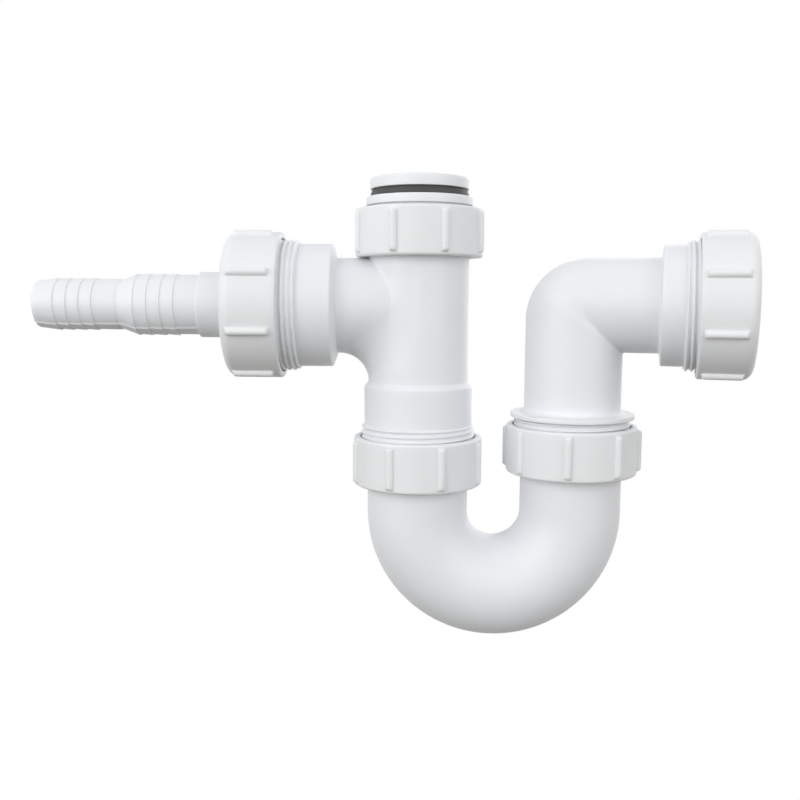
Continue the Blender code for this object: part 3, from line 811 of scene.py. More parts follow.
@dataclass(frozen=True)
class Tee:
    """The tee moulding: upright pipe, inlet spigot, swept side branch and lower socket."""

    layout: Layout
    pipe: Spigot = Spigot(pipe_radius=0.0211, bore=0.0190)
    branch_radius: float = 0.0199
    branch_bore: float = 0.0178
    sweep: float = 0.0113
    collar_start: float = 0.0348
    collar_radius: float = 0.0256
    collar_length: float = 0.0150
    collar_round: float = 0.0009
    collar_foot: float = 0.0007
    collar_draft: float = 0.0012
    branch_thread_radius: float = 0.0274
    branch_thread_length: float = 0.0130
    branch_socket_wall: float = 0.0026
    shoulder_drop: float = 0.0845
    shoulder_height: float = 0.0021
    shoulder_round: float = 0.0008
    socket_radius: float = 0.0229
    socket_thread_drop: float = 0.1026
    socket_thread_radius: float = 0.0241
    socket_thread_length: float = 0.0120
    socket_bore: float = 0.0210
    seat_gap: float = 0.0003
    end_round: float = 0.0006

    def _upright(self, outer: Saddle, inner: Saddle) -> tuple[list[Array], list[Array]]:
        """The upright pipe above and below the branch.

        Args:
            outer: Where the branch's outside meets the pipe's.
            inner: Where its bore meets the pipe's.

        Returns:
            The blocks of both strips.
        """
        pipe, bore, edge = self.pipe.pipe_radius, self.pipe.bore, self.end_round
        upright = Axis(ORIGIN, DOWN, LEFT)
        neck = self.layout.branch_drop - self.branch_radius - edge - outer.crease
        throat = self.pipe.height + self.pipe.bore_taper + edge
        inside = upright.turned(self.pipe.inside(0.0, throat), inner.columns)
        outside = upright.turned(self.pipe.outside(0.0, neck), outer.columns)
        above = [
            between(inner.waist(1.0), inside[0], inner.rows), inside,
            outside, between(outside[-1], outer.waist(1.0), outer.rows),
        ]
        root = self.socket_thread_radius - Thread.depth
        thread = Thread(root, self.socket_thread_drop, self.socket_thread_length)
        end = self.layout.tee_end
        floor = end - self.pipe.lip_height - self.seat_gap
        shoulder = outline(
            (pipe, self.shoulder_drop - edge), (pipe, self.shoulder_drop, self.shoulder_round),
            (self.socket_radius, self.shoulder_drop + self.shoulder_height, self.shoulder_round),
            (self.socket_radius, self.socket_thread_drop),
        )
        rim = outline(
            (root, thread.start + thread.length), (root, end, edge), (self.socket_bore, end)
        )
        counterbore = outline((self.socket_bore, end), (self.socket_bore, floor), (bore, floor))
        first = upright.turned(shoulder, outer.columns)
        last = upright.turned(counterbore, inner.columns)
        below = [
            between(outer.waist(-1.0), first[0], outer.rows), first,
            thread.turned(upright, outer.columns), upright.turned(rim[:-1], outer.columns),
            last, between(last[-1], inner.waist(-1.0), inner.rows),
        ]
        return above, below

    def build(self) -> bpy.types.Object:
        """Build the moulding.

        Returns:
            The new piece.
        """
        drop, wide, edge = self.layout.branch_drop, self.branch_radius, self.end_round
        outer = Saddle(self.pipe.pipe_radius, wide, drop, self.sweep)
        wall = self.pipe.pipe_radius - self.pipe.bore
        inner = Saddle(self.pipe.bore, self.branch_bore, drop, self.sweep + wall)
        axis, around = self.layout.branch_axis, outer.around
        root = self.branch_thread_radius - Thread.depth
        start = self.collar_start + self.collar_length
        thread = Thread(root, start, self.branch_thread_length)
        foot = self.collar_start - self.collar_foot
        collar = axis.turned(outline(
            (wide, foot - edge), (wide, foot, edge),
            (self.collar_radius, self.collar_start + self.collar_draft, self.collar_round),
            (self.collar_radius, start),
        ), around)
        reach = self.layout.branch_reach
        socket = root - self.branch_socket_wall
        floor = self.collar_start + self.branch_socket_wall
        mouth = axis.turned(outline(
            (root, start + thread.length), (root, reach, edge), (socket, reach, Spigot.small_round),
            (socket, floor, edge), (self.branch_bore, floor, edge),
            (self.branch_bore, floor - 2.0 * edge),
        ), around)
        outside, inside = outer.root(), inner.root()
        branch = [
            outside[::-1], between(outside[0], collar[0], outer.rows), collar,
            thread.turned(axis, around), mouth, between(mouth[-1], inside[0], inner.rows), inside,
        ]
        skin = Skin("tee_moulding", *self._upright(outer, inner), branch)
        return skin.build(Finish.BODY, soft=outer.softness)


@dataclass(frozen=True)
class UBend:
    """The U-bend moulding: two flanged legs of different height and a half-turn."""

    layout: Layout
    leg: Spigot = Spigot(pipe_radius=0.02145, bore=0.01925)
    columns: int = 120
    bend_rows: int = 64

    def _bend(self, radius: float, drop: float) -> Array:
        """The half-turn.

        Args:
            radius: Radius of the pipe's surface.
            drop: Drop at which the legs end.

        Returns:
            Its rows.
        """
        angles = even_angles(self.columns)
        turns = np.linspace(0.0, math.pi, self.bend_rows + 1)[:, None]
        centre = self.layout.spacing / 2
        reach = centre - radius * np.cos(angles)
        side = -radius * np.sin(angles) + 0.0 * turns
        return np.stack(
            [centre - reach * np.cos(turns), side, -drop - reach * np.sin(turns)], axis=-1
        )

    def build(self) -> bpy.types.Object:
        """Build the moulding.

        Returns:
            The new piece.
        """
        layout, leg = self.layout, self.leg
        angles = even_angles(self.columns)
        drop = layout.bend_bottom - layout.spacing / 2 - leg.pipe_radius
        inlet = Axis(ORIGIN, DOWN, RIGHT)
        outlet = Axis((layout.spacing, 0.0, 0.0), DOWN, LEFT)
        inlet_top = layout.tee_end - leg.lip_height
        outlet_top = layout.elbow_end - leg.lip_height
        rows = np.concatenate([
            inlet.turned(leg.outside(inlet_top, drop), angles),
            self._bend(leg.pipe_radius, drop),
            outlet.turned(leg.outside(outlet_top, drop)[::-1], angles[::-1]),
            outlet.turned(leg.inside(outlet_top, drop)[::-1], angles[::-1]),
            self._bend(leg.bore, drop)[::-1],
            inlet.turned(leg.inside(inlet_top, drop), angles),
        ])
        return Skin("u_bend_moulding", (rows, rows[:1])).build(Finish.BODY)


@dataclass(frozen=True)
class Elbow:
    """The outlet elbow moulding: threaded riser, mitred turn and threaded outlet socket."""

    layout: Layout
    riser_radius: float = 0.0204
    outlet_radius: float = 0.0197
    wall: float = 0.0021
    mitre_round: float = 0.0006
    back_round: float = 0.0260
    mitre_power: float = 3.2
    flange_radius: float = 0.0261
    flange_height: float = 0.0019
    flange_fillet: float = 0.0022
    flange_edge: float = 0.0003
    thread_drop: float = 0.0995
    thread_radius: float = 0.0246
    thread_length: float = 0.0105
    socket_bore: float = 0.0210
    socket_depth: float = 0.0050
    collar_start: float = 0.0354
    collar_radius: float = 0.0249
    collar_length: float = 0.0091
    collar_draft: float = 0.0006
    collar_round: float = 0.0007
    outlet_thread_radius: float = 0.0268
    outlet_thread_length: float = 0.0120
    outlet_pilot: float = 0.0065
    outlet_depth: float = 0.0240
    outlet_bore: float = 0.0218
    mouth_depth: float = 0.0045
    mouth_flare: float = 0.0026
    end_round: float = 0.0006
    columns: int = 120
    turn_rows: int = 40

    @property
    def outlet_thread_start(self) -> float:
        """Distance from the swivel's axis to the outlet's thread."""
        return self.collar_start + self.collar_length

    @property
    def outlet_reach(self) -> float:
        """Distance from the swivel's axis to the outlet socket's rim."""
        return self.outlet_thread_start + self.outlet_thread_length + self.outlet_pilot

    def _turn(self, inset: float, inner_round: float, outer_round: float) -> Array:
        """Rows of the turn, whose round grows from the mitred corner to the back.

        Args:
            inset: How far the surface lies inside the moulding's outside.
            inner_round: Radius of the turn at the inner corner.
            outer_round: Radius of the turn at the back.

        Returns:
            The rows, from the riser to the outlet.
        """
        riser, outlet = self.riser_radius - inset, self.outlet_radius - inset
        angles = even_angles(self.columns)
        share = np.linspace(0.0, 1.0, self.turn_rows + 1)[:, None]
        turn = share * QUARTER_TURN
        inward = np.cos(angles)
        growth = ((1.0 - inward) / 2) ** self.mitre_power
        fillet = inner_round + (outer_round - inner_round) * growth
        across = riser * inward + fillet * (1.0 - np.cos(turn))
        sink = self.layout.outlet_drop + outlet * inward + fillet * (1.0 - np.sin(turn))
        width = riser + (outlet - riser) * share
        return np.stack([across, width * np.sin(angles), -sink], axis=-1)

    def _riser(self, axis: Axis, angles: Array) -> tuple[list[Array], Array]:
        """The upright pipe's threaded end.

        Args:
            axis: Its axis.
            angles: The columns' angles.

        Returns:
            Blocks of its outside, from the rim up, and rows of its bore, down to the rim.
        """
        end, edge = self.layout.elbow_end, self.end_round
        root = self.thread_radius - Thread.depth
        bore = self.riser_radius - self.wall
        thread = Thread(root, -self.thread_drop - self.thread_length, self.thread_length)
        top = self.flange_height - self.thread_drop
        base = outline((self.socket_bore, -end), (root, -end, edge), (root, thread.start))
        flange = outline(
            (root, -self.thread_drop), (self.flange_radius, -self.thread_drop, self.flange_edge),
            (self.flange_radius, top, self.flange_edge),
            (self.riser_radius, top, self.flange_fillet),
            (self.riser_radius, top + 2.0 * self.flange_fillet),
        )
        floor = self.socket_depth - end
        socket = outline(
            (bore, floor + 2.0 * edge), (bore, floor, edge), (self.socket_bore, floor),
            (self.socket_bore, -end),
        )
        outside = [
            axis.turned(base, angles), thread.turned(axis, angles), axis.turned(flange, angles)
        ]
        return outside, axis.turned(socket, angles)

    def _outlet(self, axis: Axis, angles: Array) -> list[Array]:
        """The outlet's collar, thread and mouth.

        Args:
            axis: Its axis.
            angles: The columns' angles.

        Returns:
            The blocks, from the turn out to the rim and back in along the bore.
        """
        start, rim, edge = self.outlet_thread_start, self.outlet_reach, self.end_round
        root = self.outlet_thread_radius - Thread.depth
        bore = self.outlet_radius - self.wall
        thread = Thread(root, start, self.outlet_thread_length)
        foot = self.collar_start - self.collar_draft
        stop = rim - self.outlet_depth
        collar = outline(
            (self.outlet_radius, foot - 2.0 * edge), (self.outlet_radius, foot, edge),
            (self.collar_radius, self.collar_start, self.collar_round),
            (self.collar_radius, start),
        )
        mouth = outline(
            (root, start + thread.length), (root, rim, edge),
            (self.outlet_bore + self.mouth_flare, rim),
            (self.outlet_bore, rim - self.mouth_depth, edge), (self.outlet_bore, stop),
            (bore, stop, edge), (bore, stop - 2.0 * edge),
        )
        return [
            axis.turned(collar, angles), thread.turned(axis, angles), axis.turned(mouth, angles)
        ]

    def build(self) -> bpy.types.Object:
        """Build the moulding round its own swivel axis and swing it into place.

        Returns:
            The new piece.
        """
        angles = even_angles(self.columns)
        riser, socket = self._riser(Axis(ORIGIN, UP, RIGHT), angles)
        outlet_axis = Axis((0.0, 0.0, -self.layout.outlet_drop), RIGHT, DOWN)
        outlet = self._outlet(outlet_axis, angles)
        turn = self._turn(0.0, self.mitre_round, self.back_round)
        lining = self._turn(
            self.wall, self.mitre_round + self.wall / 2, self.back_round - self.wall
        )
        steps = self.turn_rows // 2
        skin = Skin("elbow_moulding", [
            *riser, between(riser[-1][-1], turn[0], steps), turn,
            between(turn[-1], outlet[0][0], steps), *outlet,
            between(outlet[-1][-1], lining[-1], steps), lining[::-1],
            between(lining[0], socket[0], steps), socket,
        ])
        return skin.build(Finish.BODY, self.layout.elbow_place)


@dataclass(frozen=True)
class HoseNozzle:
    """The hose nozzle: inner flange, collar, two sets of barbs, mould line and open tip."""

    layout: Layout
    flange_radius: float = 0.0253
    flange_height: float = 0.0032
    collar_radius: float = 0.0137
    collar_end: float = 0.0186
    stem_radius: float = 0.0125
    stem_plain: float = 0.0093
    wide_pitch: float = 0.0055
    narrow_pitch: float = 0.0053
    barb_count: int = 4
    barb_height: float = 0.00045
    cone_length: float = 0.0066
    cone_round: float = 0.0264
    tip_radius: float = 0.0105
    narrow_plain: float = 0.0110
    witness_gap: float = 0.0015
    witness_height: float = 0.00016
    nose_taper: float = 0.0008
    nose_round: float = 0.0012
    wall: float = 0.0021
    edge_round: float = 0.0004
    step_round: float = 0.0002
    line_angle: float = math.radians(-140.0)
    line_width: float = 0.0006
    line_height: float = 0.00035
    line_columns: int = 5
    columns: int = 128

    def _angles(self) -> Array:
        """Columns round the nozzle, closer together along both mould lines.

        Returns:
            The angles.
        """
        spread = self.line_width / self.tip_radius * np.linspace(-1.0, 1.0, self.line_columns)
        plain = np.linspace(spread[-1], math.pi + spread[0], self.columns // 2 + 1)[1:-1]
        half = np.concatenate([spread, plain])
        return self.line_angle + np.concatenate([half, half + math.pi, [half[0] + FULL_TURN]])

    def _mould_line(self, radius: Array, angle: Array, distance: Array) -> Array:
        """The fine ridge that the two halves of the mould leave along both sides.

        Args:
            radius: The turned surface's radius.
            angle: Angles about the nozzle.
            distance: Distances along it.

        Returns:
            The ridge's height.
        """
        gap = np.abs((angle - self.line_angle + QUARTER_TURN) % math.pi - QUARTER_TURN)
        crest = np.maximum(0.0, 1.0 - gap * radius / self.line_width)
        return self.line_height * crest * (distance > self.collar_end)

    def _barbs(self, radius: float, start: float, pitch: float) -> list[tuple[float, ...]]:
        """One set of barbs, each a step that slopes down to the next.

        Args:
            radius: Radius between them.
            start: Distance of the first.
            pitch: Distance from one to the next.

        Returns:
            The outline's corners.
        """
        crests = [start + barb * pitch for barb in range(self.barb_count)]
        steps = (radius, radius + self.barb_height)
        return [(step, crest, self.step_round) for crest in crests for step in steps]

    def build(self) -> bpy.types.Object:
        """Build the nozzle.

        Returns:
            The new piece.
        """
        length = self.layout.nozzle_tip - self.layout.nozzle_start
        edge, stem, tip = self.edge_round, self.stem_radius, self.tip_radius
        wide = self.collar_end + self.stem_plain
        cone_end = wide + (self.barb_count - 1) * self.wide_pitch + self.cone_length
        witness = cone_end + self.witness_gap
        nose = tip - self.nose_taper
        profile = outline(
            (stem - self.wall, 0.0),
            (self.flange_radius, 0.0, edge), (self.flange_radius, self.flange_height, edge),
            (self.collar_radius, self.flange_height, edge),
            (self.collar_radius, self.collar_end, edge), (stem, self.collar_end, self.step_round),
            *self._barbs(stem, wide, self.wide_pitch),
            (tip, cone_end, self.cone_round), (tip, witness), (tip + self.witness_height, witness),
            *self._barbs(tip, cone_end + self.narrow_plain, self.narrow_pitch),
            (nose, length, self.nose_round), (nose - self.wall, length, edge),
            (stem - self.wall, 0.0),
        )
        axis = self.layout.branch_axis.moved(self.layout.nozzle_start)
        rows = axis.turned(profile, self._angles(), self._mould_line)
        return Skin("hose_nozzle_moulding", [rows]).build(Finish.BODY)


@dataclass(frozen=True)
class RibbedNut:
    """A union nut: threaded bore, inner lip round its pipe and half-round grip ribs outside."""

    name: str
    node: str
    axis: Axis
    height: float
    thread: float
    pipe: float
    wall: float
    turn: float
    bore_gap: float = 0.0007
    mouth_gap: float = 0.0004
    lip: float = 0.0026
    dome: float = 0.0012
    dome_steps: int = 8
    edge: float = 0.0011
    thread_depth: float = 0.0004
    thread_rows: int = 6
    ribs: int = 8
    rib_height: float = 0.0017
    rib_width: float = 0.0033
    rib_ends: tuple[float, float] = (0.0014, 0.0014)
    rib_corner: float = 0.0013
    plan_power: float = 4.0
    end_power: float = 0.6
    rib_columns: int = 16
    face_columns: int = 10
    rib_rows: int = 8
    row_digits: int = 7

    @property
    def bore(self) -> float:
        """Radius of the bore that the thread stands on."""
        return self.thread + self.bore_gap

    @property
    def mouth(self) -> float:
        """Radius of the hole that the pipe passes through."""
        return self.pipe + self.mouth_gap

    @property
    def body(self) -> float:
        """Radius of the outside between its ribs."""
        return self.bore + self.wall

    def _columns(self) -> Array:
        """Columns round the nut, closest where a rib's sides are steep.

        Returns:
            The angles.
        """
        half = self.rib_width / 2 / self.body
        period = FULL_TURN / self.ribs
        rib = half * np.sin(np.linspace(-QUARTER_TURN, QUARTER_TURN, self.rib_columns + 1))
        face = np.linspace(half, period - half, self.face_columns + 1)[1:-1]
        one = np.concatenate([rib, face])
        full = (one + period * np.arange(self.ribs)[:, None]).ravel()
        return self.turn + np.append(full, full[0] + FULL_TURN)

    def _rows(self, first: float, last: float) -> Array:
        """Rows along the nut's side, closest at both ends of the ribs.

        Args:
            first: Distance of the first row from the open rim.
            last: Distance of the last row.

        Returns:
            The distances.
        """
        turn = np.linspace(0.0, QUARTER_TURN, self.rib_rows + 1)
        near = self.rib_ends[0] + self.rib_corner * (1.0 - np.cos(turn))
        far = self.height - self.rib_ends[1] - near[::-1] + self.rib_ends[0]
        middle = np.linspace(near[-1], far[0], self.rib_rows + 1)
        rows = np.concatenate([[first, last], near, middle, far])
        return np.unique(rows[(rows >= first) & (rows <= last)].round(self.row_digits))

    def _rib(self, radius: Array, angle: Array, distance: Array) -> Array:
        """How far the ribs stand out, with rounded ends.

        Args:
            radius: The turned surface's radius.
            angle: Angles about the nut.
            distance: Distances from its open rim.

        Returns:
            The offset in radius.
        """
        period = FULL_TURN / self.ribs
        start, end = self.rib_ends[0], self.height - self.rib_ends[1]
        gap = np.abs((angle - self.turn + period / 2) % period - period / 2) * self.body
        across = gap / (self.rib_width / 2)
        past = np.abs(distance - (start + end) / 2) - (end - start) / 2 + self.rib_corner
        beyond = np.maximum(0.0, past) / self.rib_corner
        plan = np.maximum(1.0 - across**self.plan_power, WELD_DISTANCE) ** (1.0 / self.plan_power)
        round_side = np.clip(1.0 - across**2, 0.0, 1.0)
        round_end = np.clip(1.0 - (beyond / plan) ** 2, 0.0, 1.0)
        crown = np.sqrt(round_side) * round_end**self.end_power
        return crown * (self.body + self.rib_height - radius)

    def build(self) -> bpy.types.Object:
        """Build the nut.

        Returns:
            The new piece.
        """
        angles = self._columns()
        bore, mouth, body = self.bore, self.mouth, self.body
        small = Spigot.small_round
        side = outline((bore + small, 0.0), (body, 0.0, self.edge), (body, self.height / 2))
        flank_start = side[side[:, 0] >= body - WELD_DISTANCE][0, 1]
        flank_end = self.height - self.dome
        distances = self._rows(flank_start, flank_end)
        flank = np.stack([np.full(len(distances), body), distances], axis=1)
        seat = self.height - self.lip
        turns = QUARTER_TURN * np.arange(1, self.dome_steps + 1) / self.dome_steps
        shoulder = zip(
            body - self.dome * (1.0 - np.cos(turns)), flank_end + self.dome * np.sin(turns)
        )
        cap = outline((body, flank_end), *shoulder, (mouth, self.height, small), (mouth, seat))
        thread = Thread(
            bore, 2.0 * small, seat - 4.0 * small, inward=True, depth=self.thread_depth,
            rows_per_pitch=self.thread_rows,
        )
        inner_face = outline((mouth, seat), (bore, seat), (bore, seat - 2.0 * small))
        entry = outline((bore, 2.0 * small), (bore, 0.0, small), (bore + small, 0.0))
        skin = Skin(self.name, [
            self.axis.turned(side[side[:, 1] <= flank_start], angles),
            self.axis.turned(flank, angles, self._rib),
            self.axis.turned(cap[1:], angles, self._rib),
            self.axis.turned(inner_face, angles),
            thread.turned(self.axis, angles)[::-1],
            self.axis.turned(entry, angles),
        ])
        return skin.build(Finish.NUT)


@dataclass(frozen=True)
class Ring:
    """A plain turned ring, such as a rubber seal or a thrust washer."""

    name: str
    node: str
    axis: Axis
    corners: tuple[tuple[float, float], ...]
    finish: Finish = Finish.RUBBER
    edge: float = 0.00035
    columns: int = 128

    def build(self) -> bpy.types.Object:
        """Turn the ring with rounded corners.

        Returns:
            The new piece.
        """
        start = tuple((np.array(self.corners[0]) + self.corners[-1]) / 2)
        profile = outline(start, *((*corner, self.edge) for corner in self.corners), start)
        rows = self.axis.turned(profile, even_angles(self.columns))
        return Skin(self.name, [rows]).build(self.finish)


@dataclass(frozen=True)
class Fittings:
    """Every nut, seal and washer, placed from the layout and the mouldings that they fit."""

    layout: Layout
    tee: Tee
    bend: UBend
    elbow: Elbow
    nozzle: HoseNozzle
    seat_gap: float = 0.0003
    groove_gap: float = 0.0001
    inlet_wall: float = 0.0019
    bend_inlet_wall: float = 0.0025
    bend_outlet_wall: float = 0.0024
    large_wall: float = 0.0023
    large_lip: float = 0.0030
    large_dome: float = 0.0044
    large_rib: float = 0.0019
    nozzle_rib_ends: tuple[float, float] = (0.0028, 0.0030)
    outlet_rib_ends: tuple[float, float] = (0.0018, 0.0036)
    outlet_nut_height: float = 0.0217
    inlet_nut_turn: float = math.radians(-21.2)
    bend_inlet_nut_turn: float = math.radians(-19.5)
    bend_outlet_nut_turn: float = math.radians(12.9)
    nozzle_nut_turn: float = math.radians(-19.2)
    outlet_nut_turn: float = math.radians(-24.7)
    seal_proud: float = 0.0002
    seal_taper: float = 0.0010
    leg_seal_inset: float = 0.0002
    nozzle_seal_thickness: float = 0.0025
    outlet_seal_length: float = 0.0062
    outlet_seal_proud: float = 0.0028
    washer_inset: float = 0.0012
    washer_thickness: float = 0.0018

    def nuts(self) -> list[RibbedNut]:
        """All five nuts.

        Returns:
            The three upright nuts, open end up, and the two large ones.
        """
        layout, tee, elbow = self.layout, self.tee, self.elbow
        leg, pipe = self.bend.leg.pipe_radius, tee.pipe.pipe_radius
        nuts = []
        for name, node, across, thread, passing, wall, turn in (
            ("inlet_nut_moulding", "inlet_nut", 0.0, tee.socket_thread_radius, pipe,
             self.inlet_wall, self.inlet_nut_turn),
            ("bend_inlet_nut_moulding", "u_inlet_nut", 0.0, tee.socket_thread_radius, leg,
             self.bend_inlet_wall, self.bend_inlet_nut_turn),
            ("bend_outlet_nut_moulding", "u_outlet_nut", layout.spacing, elbow.thread_radius, leg,
             self.bend_outlet_wall, self.bend_outlet_nut_turn),
        ):
            low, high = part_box(node)
            axis = Axis((across, 0.0, high.z), DOWN, RIGHT)
            nuts.append(RibbedNut(name, node, axis, high.z - low.z, thread, passing, wall, turn))
        large = {
            "wall": self.large_wall, "lip": self.large_lip, "dome": self.large_dome,
            "rib_height": self.large_rib,
        }
        low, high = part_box("nozzle_nut")
        nuts.append(RibbedNut(
            "nozzle_nut_moulding", "nozzle_nut", layout.branch_axis.moved(-high.x),
            high.x - low.x, tee.branch_thread_radius, self.nozzle.collar_radius,
            turn=self.nozzle_nut_turn, rib_ends=self.nozzle_rib_ends, **large,
        ))
        washer_end = layout.washer_reach + self.washer_thickness / 2
        rim = washer_end + self.seat_gap + self.large_lip - self.outlet_nut_height
        nuts.append(RibbedNut(
            "outlet_nut_moulding", "outlet_nut", layout.outlet_axis.moved(rim),
            self.outlet_nut_height, elbow.outlet_thread_radius, leg,
            turn=self.outlet_nut_turn, rib_ends=self.outlet_rib_ends, **large,
        ))
        return nuts

    def _groove_seals(self) -> list[Ring]:
        """The three rubber rings in the spigots' grooves.

        Returns:
            The rings.
        """
        layout, pipe, leg = self.layout, self.tee.pipe, self.bend.leg
        lip_seal = pipe.lip_radius + self.seal_proud
        leg_seal = leg.pipe_radius + leg.flange_step - self.leg_seal_inset
        rings = []
        for name, node, across, rim, spigot, outer, taper in (
            ("inlet_seal_ring", "inlet_seal", 0.0, 0.0, pipe, lip_seal, self.seal_taper),
            ("bend_inlet_seal_ring", "u_inlet_seal", 0.0, layout.tee_end - leg.lip_height, leg,
             leg_seal, 0.0),
            ("bend_outlet_seal_ring", "u_outlet_seal", layout.spacing,
             layout.elbow_end - leg.lip_height, leg, leg_seal, 0.0),
        ):
            inner = spigot.groove_radius + self.groove_gap
            top = rim + spigot.lip_height + self.groove_gap
            end = top + spigot.groove_height - 2.0 * self.groove_gap
            corners = ((inner, top), (outer - taper, top), (outer, end), (inner, end))
            rings.append(Ring(name, node, Axis((across, 0.0, 0.0), DOWN, LEFT), corners))
        return rings

    def rings(self) -> list[Ring]:
        """All seals and the slip washer.

        Returns:
            The rings.
        """
        layout, elbow, nozzle = self.layout, self.elbow, self.nozzle
        stem, flange = nozzle.stem_radius, nozzle.flange_radius
        seal_start = layout.branch_reach + self.seat_gap
        seal_end = seal_start + self.nozzle_seal_thickness
        inner, reach = elbow.outlet_bore, elbow.outlet_reach
        slope = elbow.mouth_flare / elbow.mouth_depth
        clear = self.seat_gap * math.hypot(1.0, slope)
        back = reach + self.outlet_seal_proud
        front = back - self.outlet_seal_length
        front_radius = inner + slope * (front - reach + elbow.mouth_depth) - clear
        back_radius = inner + elbow.mouth_flare - clear
        washer = elbow.outlet_thread_radius - self.washer_inset
        start = layout.washer_reach - self.washer_thickness / 2
        end = start + self.washer_thickness
        return [
            *self._groove_seals(),
            Ring("nozzle_seal_ring", "nozzle_seal", layout.branch_axis, (
                (stem, seal_start), (flange, seal_start), (flange, seal_end), (stem, seal_end),
            )),
            Ring("outlet_seal_ring", "outlet_seal", layout.outlet_axis, (
                (inner, front), (front_radius, front), (back_radius, reach), (back_radius, back),
                (inner, back),
            )),
            Ring("outlet_slip_washer_ring", "outlet_slip_washer", layout.outlet_axis, (
                (inner, start), (washer, start), (washer, end), (inner, end),
            ), Finish.WASHER),
        ]


@dataclass(frozen=True)
class Lamp:
    """A soft square lamp that looks at the trap's middle."""

    name: str
    place: Triple
    power: float
    size: float = 1.6

    def build(self, target: Vector) -> None:
        """Add the lamp.

        Args:
            target: The point it looks at.
        """
        data = bpy.data.lights.new(self.name, "AREA")
        data.shape = "SQUARE"
        data.size = self.size
        data.energy = self.power
        lamp = add_object(self.name, data)
        lamp.location = self.place
        lamp.rotation_euler = (target - Vector(self.place)).to_track_quat("-Z", "Y").to_euler()


def white_where_seen(
    tree: bpy.types.NodeTree, shader: str, look: Mapping[str, object], white: str, end: str
) -> None:
    """Give a surface white wherever it is looked at, and its own shader for the light alone.

    Args:
        tree: The tree of a material or world.
        shader: The shader's node type.
        look: The values of its sockets.
        white: The node type that gives the white.
        end: The output's node type.
    """
    graph = Graph(tree)
    camera, glossy, through = (
        graph.node("ShaderNodeLightPath", None, None, ray) for ray in RAYS_THAT_SEE_WHITE
    )
    mixed = graph.node("ShaderNodeMixShader", None, {
        0: (camera + glossy + through).at_most_one(),
        1: graph.node(shader, None, look),
        2: graph.node(white, None, WHITE),
    })
    graph.node(end, None, {"Surface": mixed})


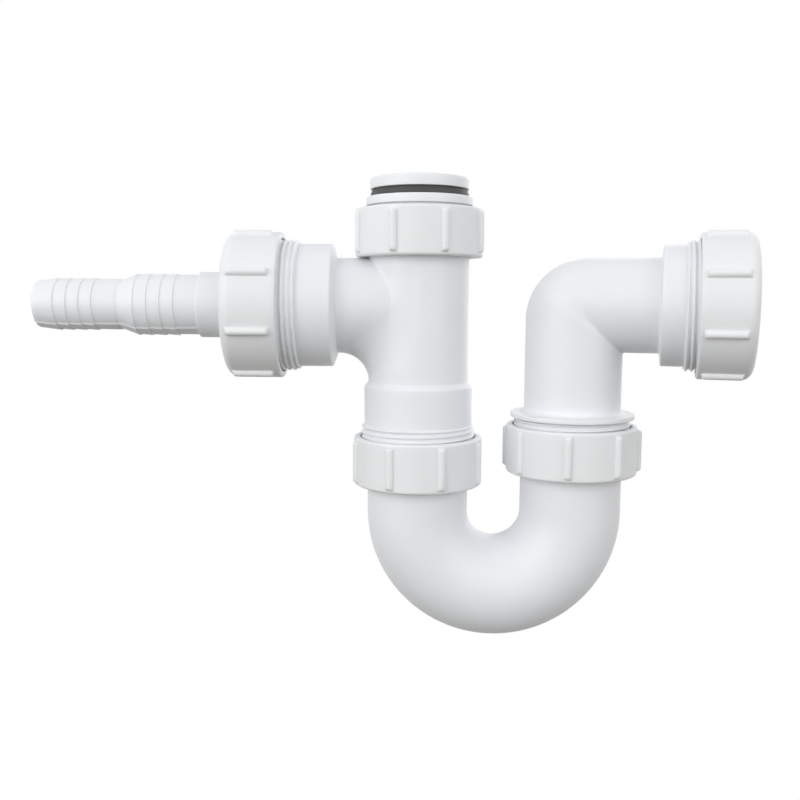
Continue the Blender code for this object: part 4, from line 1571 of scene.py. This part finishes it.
@dataclass(frozen=True)
class Studio:
    """A pale floor, a white surround, soft lamps and the camera at the photograph's angle."""

    lamps: tuple[Lamp, ...] = (
        Lamp("front_left_lamp", (-1.3, -1.4, 0.45), 15.0),
        Lamp("front_right_lamp", (1.3, -1.4, 0.45), 11.5),
        Lamp("front_lamp", (0.1, -1.9, 0.3), 3.5),
        Lamp("left_lamp", (-1.8, -0.6, 0.2), 8.0),
        Lamp("back_lamp", (0.9, 1.6, 0.4), 8.0),
    )
    ambient: float = 0.6
    ambient_colour: Triple = (0.98, 0.99, 1.0)
    floor_drop: float = 0.42
    floor_size: float = 6.0
    floor_colour: Triple = (0.146, 0.134, 0.118)
    camera_place: Triple = (-0.007735, -0.3858, -0.0482)
    camera_tilt: float = 0.115
    camera_roll: float = 0.006
    camera_clip: float = 0.01
    focal_pixels: float = 907.9
    picture_pixels: float = 800.0
    sensor: float = 36.0

    def world(self) -> None:
        """Make the surround: white where it is seen, soft grey light elsewhere."""
        world = bpy.data.worlds.new("surround")
        world.use_nodes = True
        bpy.context.scene.world = world
        look = {"Color": (*self.ambient_colour, 1.0), "Strength": self.ambient}
        kind = "ShaderNodeBackground"
        white_where_seen(world.node_tree, kind, look, kind, "ShaderNodeOutputWorld")

    def floor(self) -> None:
        """Lay the pale floor below the trap, white where it is seen and dim to the light."""
        half = self.floor_size / 2
        mesh = bpy.data.meshes.new("floor")
        corners = [(-half, -half, 0.0), (half, -half, 0.0), (half, half, 0.0), (-half, half, 0.0)]
        mesh.from_pydata(corners, [], [(0, 1, 2, 3)])
        floor = add_object("floor", mesh)
        floor.location = (0.0, 0.0, -self.floor_drop)
        paint = bpy.data.materials.new("floor_paint")
        paint.use_nodes = True
        look = {"Color": (*self.floor_colour, 1.0)}
        white_where_seen(
            paint.node_tree, "ShaderNodeBsdfDiffuse", look, "ShaderNodeEmission",
            "ShaderNodeOutputMaterial",
        )
        mesh.materials.append(paint)
        floor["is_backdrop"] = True

    def camera(self) -> None:
        """Set the camera where the photograph was taken from."""
        data = bpy.data.cameras.new("camera")
        data.sensor_width = self.sensor
        data.lens = self.focal_pixels / self.picture_pixels * self.sensor
        data.clip_start = self.camera_clip
        camera = add_object("camera", data)
        camera.matrix_world = (
            Matrix.Translation(self.camera_place)
            @ Matrix.Rotation(QUARTER_TURN - self.camera_tilt, 4, "X")
            @ Matrix.Rotation(self.camera_roll, 4, "Z")
        )
        bpy.context.scene.camera = camera

    def build(self) -> None:
        """Set up everything round the trap."""
        low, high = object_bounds()
        for lamp in self.lamps:
            lamp.build((low + high) / 2)
        self.world()
        self.floor()
        self.camera()
        bpy.context.scene.view_settings.view_transform = "Standard"


def clear_scene() -> None:
    """Remove every object, so that the script can be run again in an open file."""
    for item in list(bpy.data.objects):
        bpy.data.objects.remove(item, do_unlink=True)


def dress(piece: bpy.types.Object, finish: Finish, node: str, body: str) -> None:
    """Let a new piece stand for a node and ride on its body.

    Args:
        piece: The new piece.
        finish: The material it is moulded in; not used.
        node: The node that it replaces.
        body: The body that carries it.
    """
    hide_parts(node)
    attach(piece, body)


def main() -> None:
    """Load the frame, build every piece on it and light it."""
    logging.basicConfig(level=logging.INFO, format="%(message)s")
    clear_scene()
    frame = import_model()
    bodies = frame["record"]["behaviour"]["bodies"]
    carrier = {node: body for body, nodes in bodies.items() for node in nodes}

    layout = Layout.read()
    tee = Tee(layout)
    bend = UBend(layout)
    elbow = Elbow(layout)
    nozzle = HoseNozzle(layout)
    fittings = Fittings(layout, tee, bend, elbow, nozzle)
    makers = [
        ("tee_body", tee, Finish.BODY), ("u_bend", bend, Finish.BODY),
        ("outlet_elbow", elbow, Finish.BODY), ("hose_nozzle", nozzle, Finish.BODY),
        *((nut.node, nut, Finish.NUT) for nut in fittings.nuts()),
        *((ring.node, ring, ring.finish) for ring in fittings.rings()),
    ]
    for node, maker, finish in makers:
        dress(maker.build(), finish, node, carrier[node])
    Studio().build()


if __name__ == "__main__":
    main()
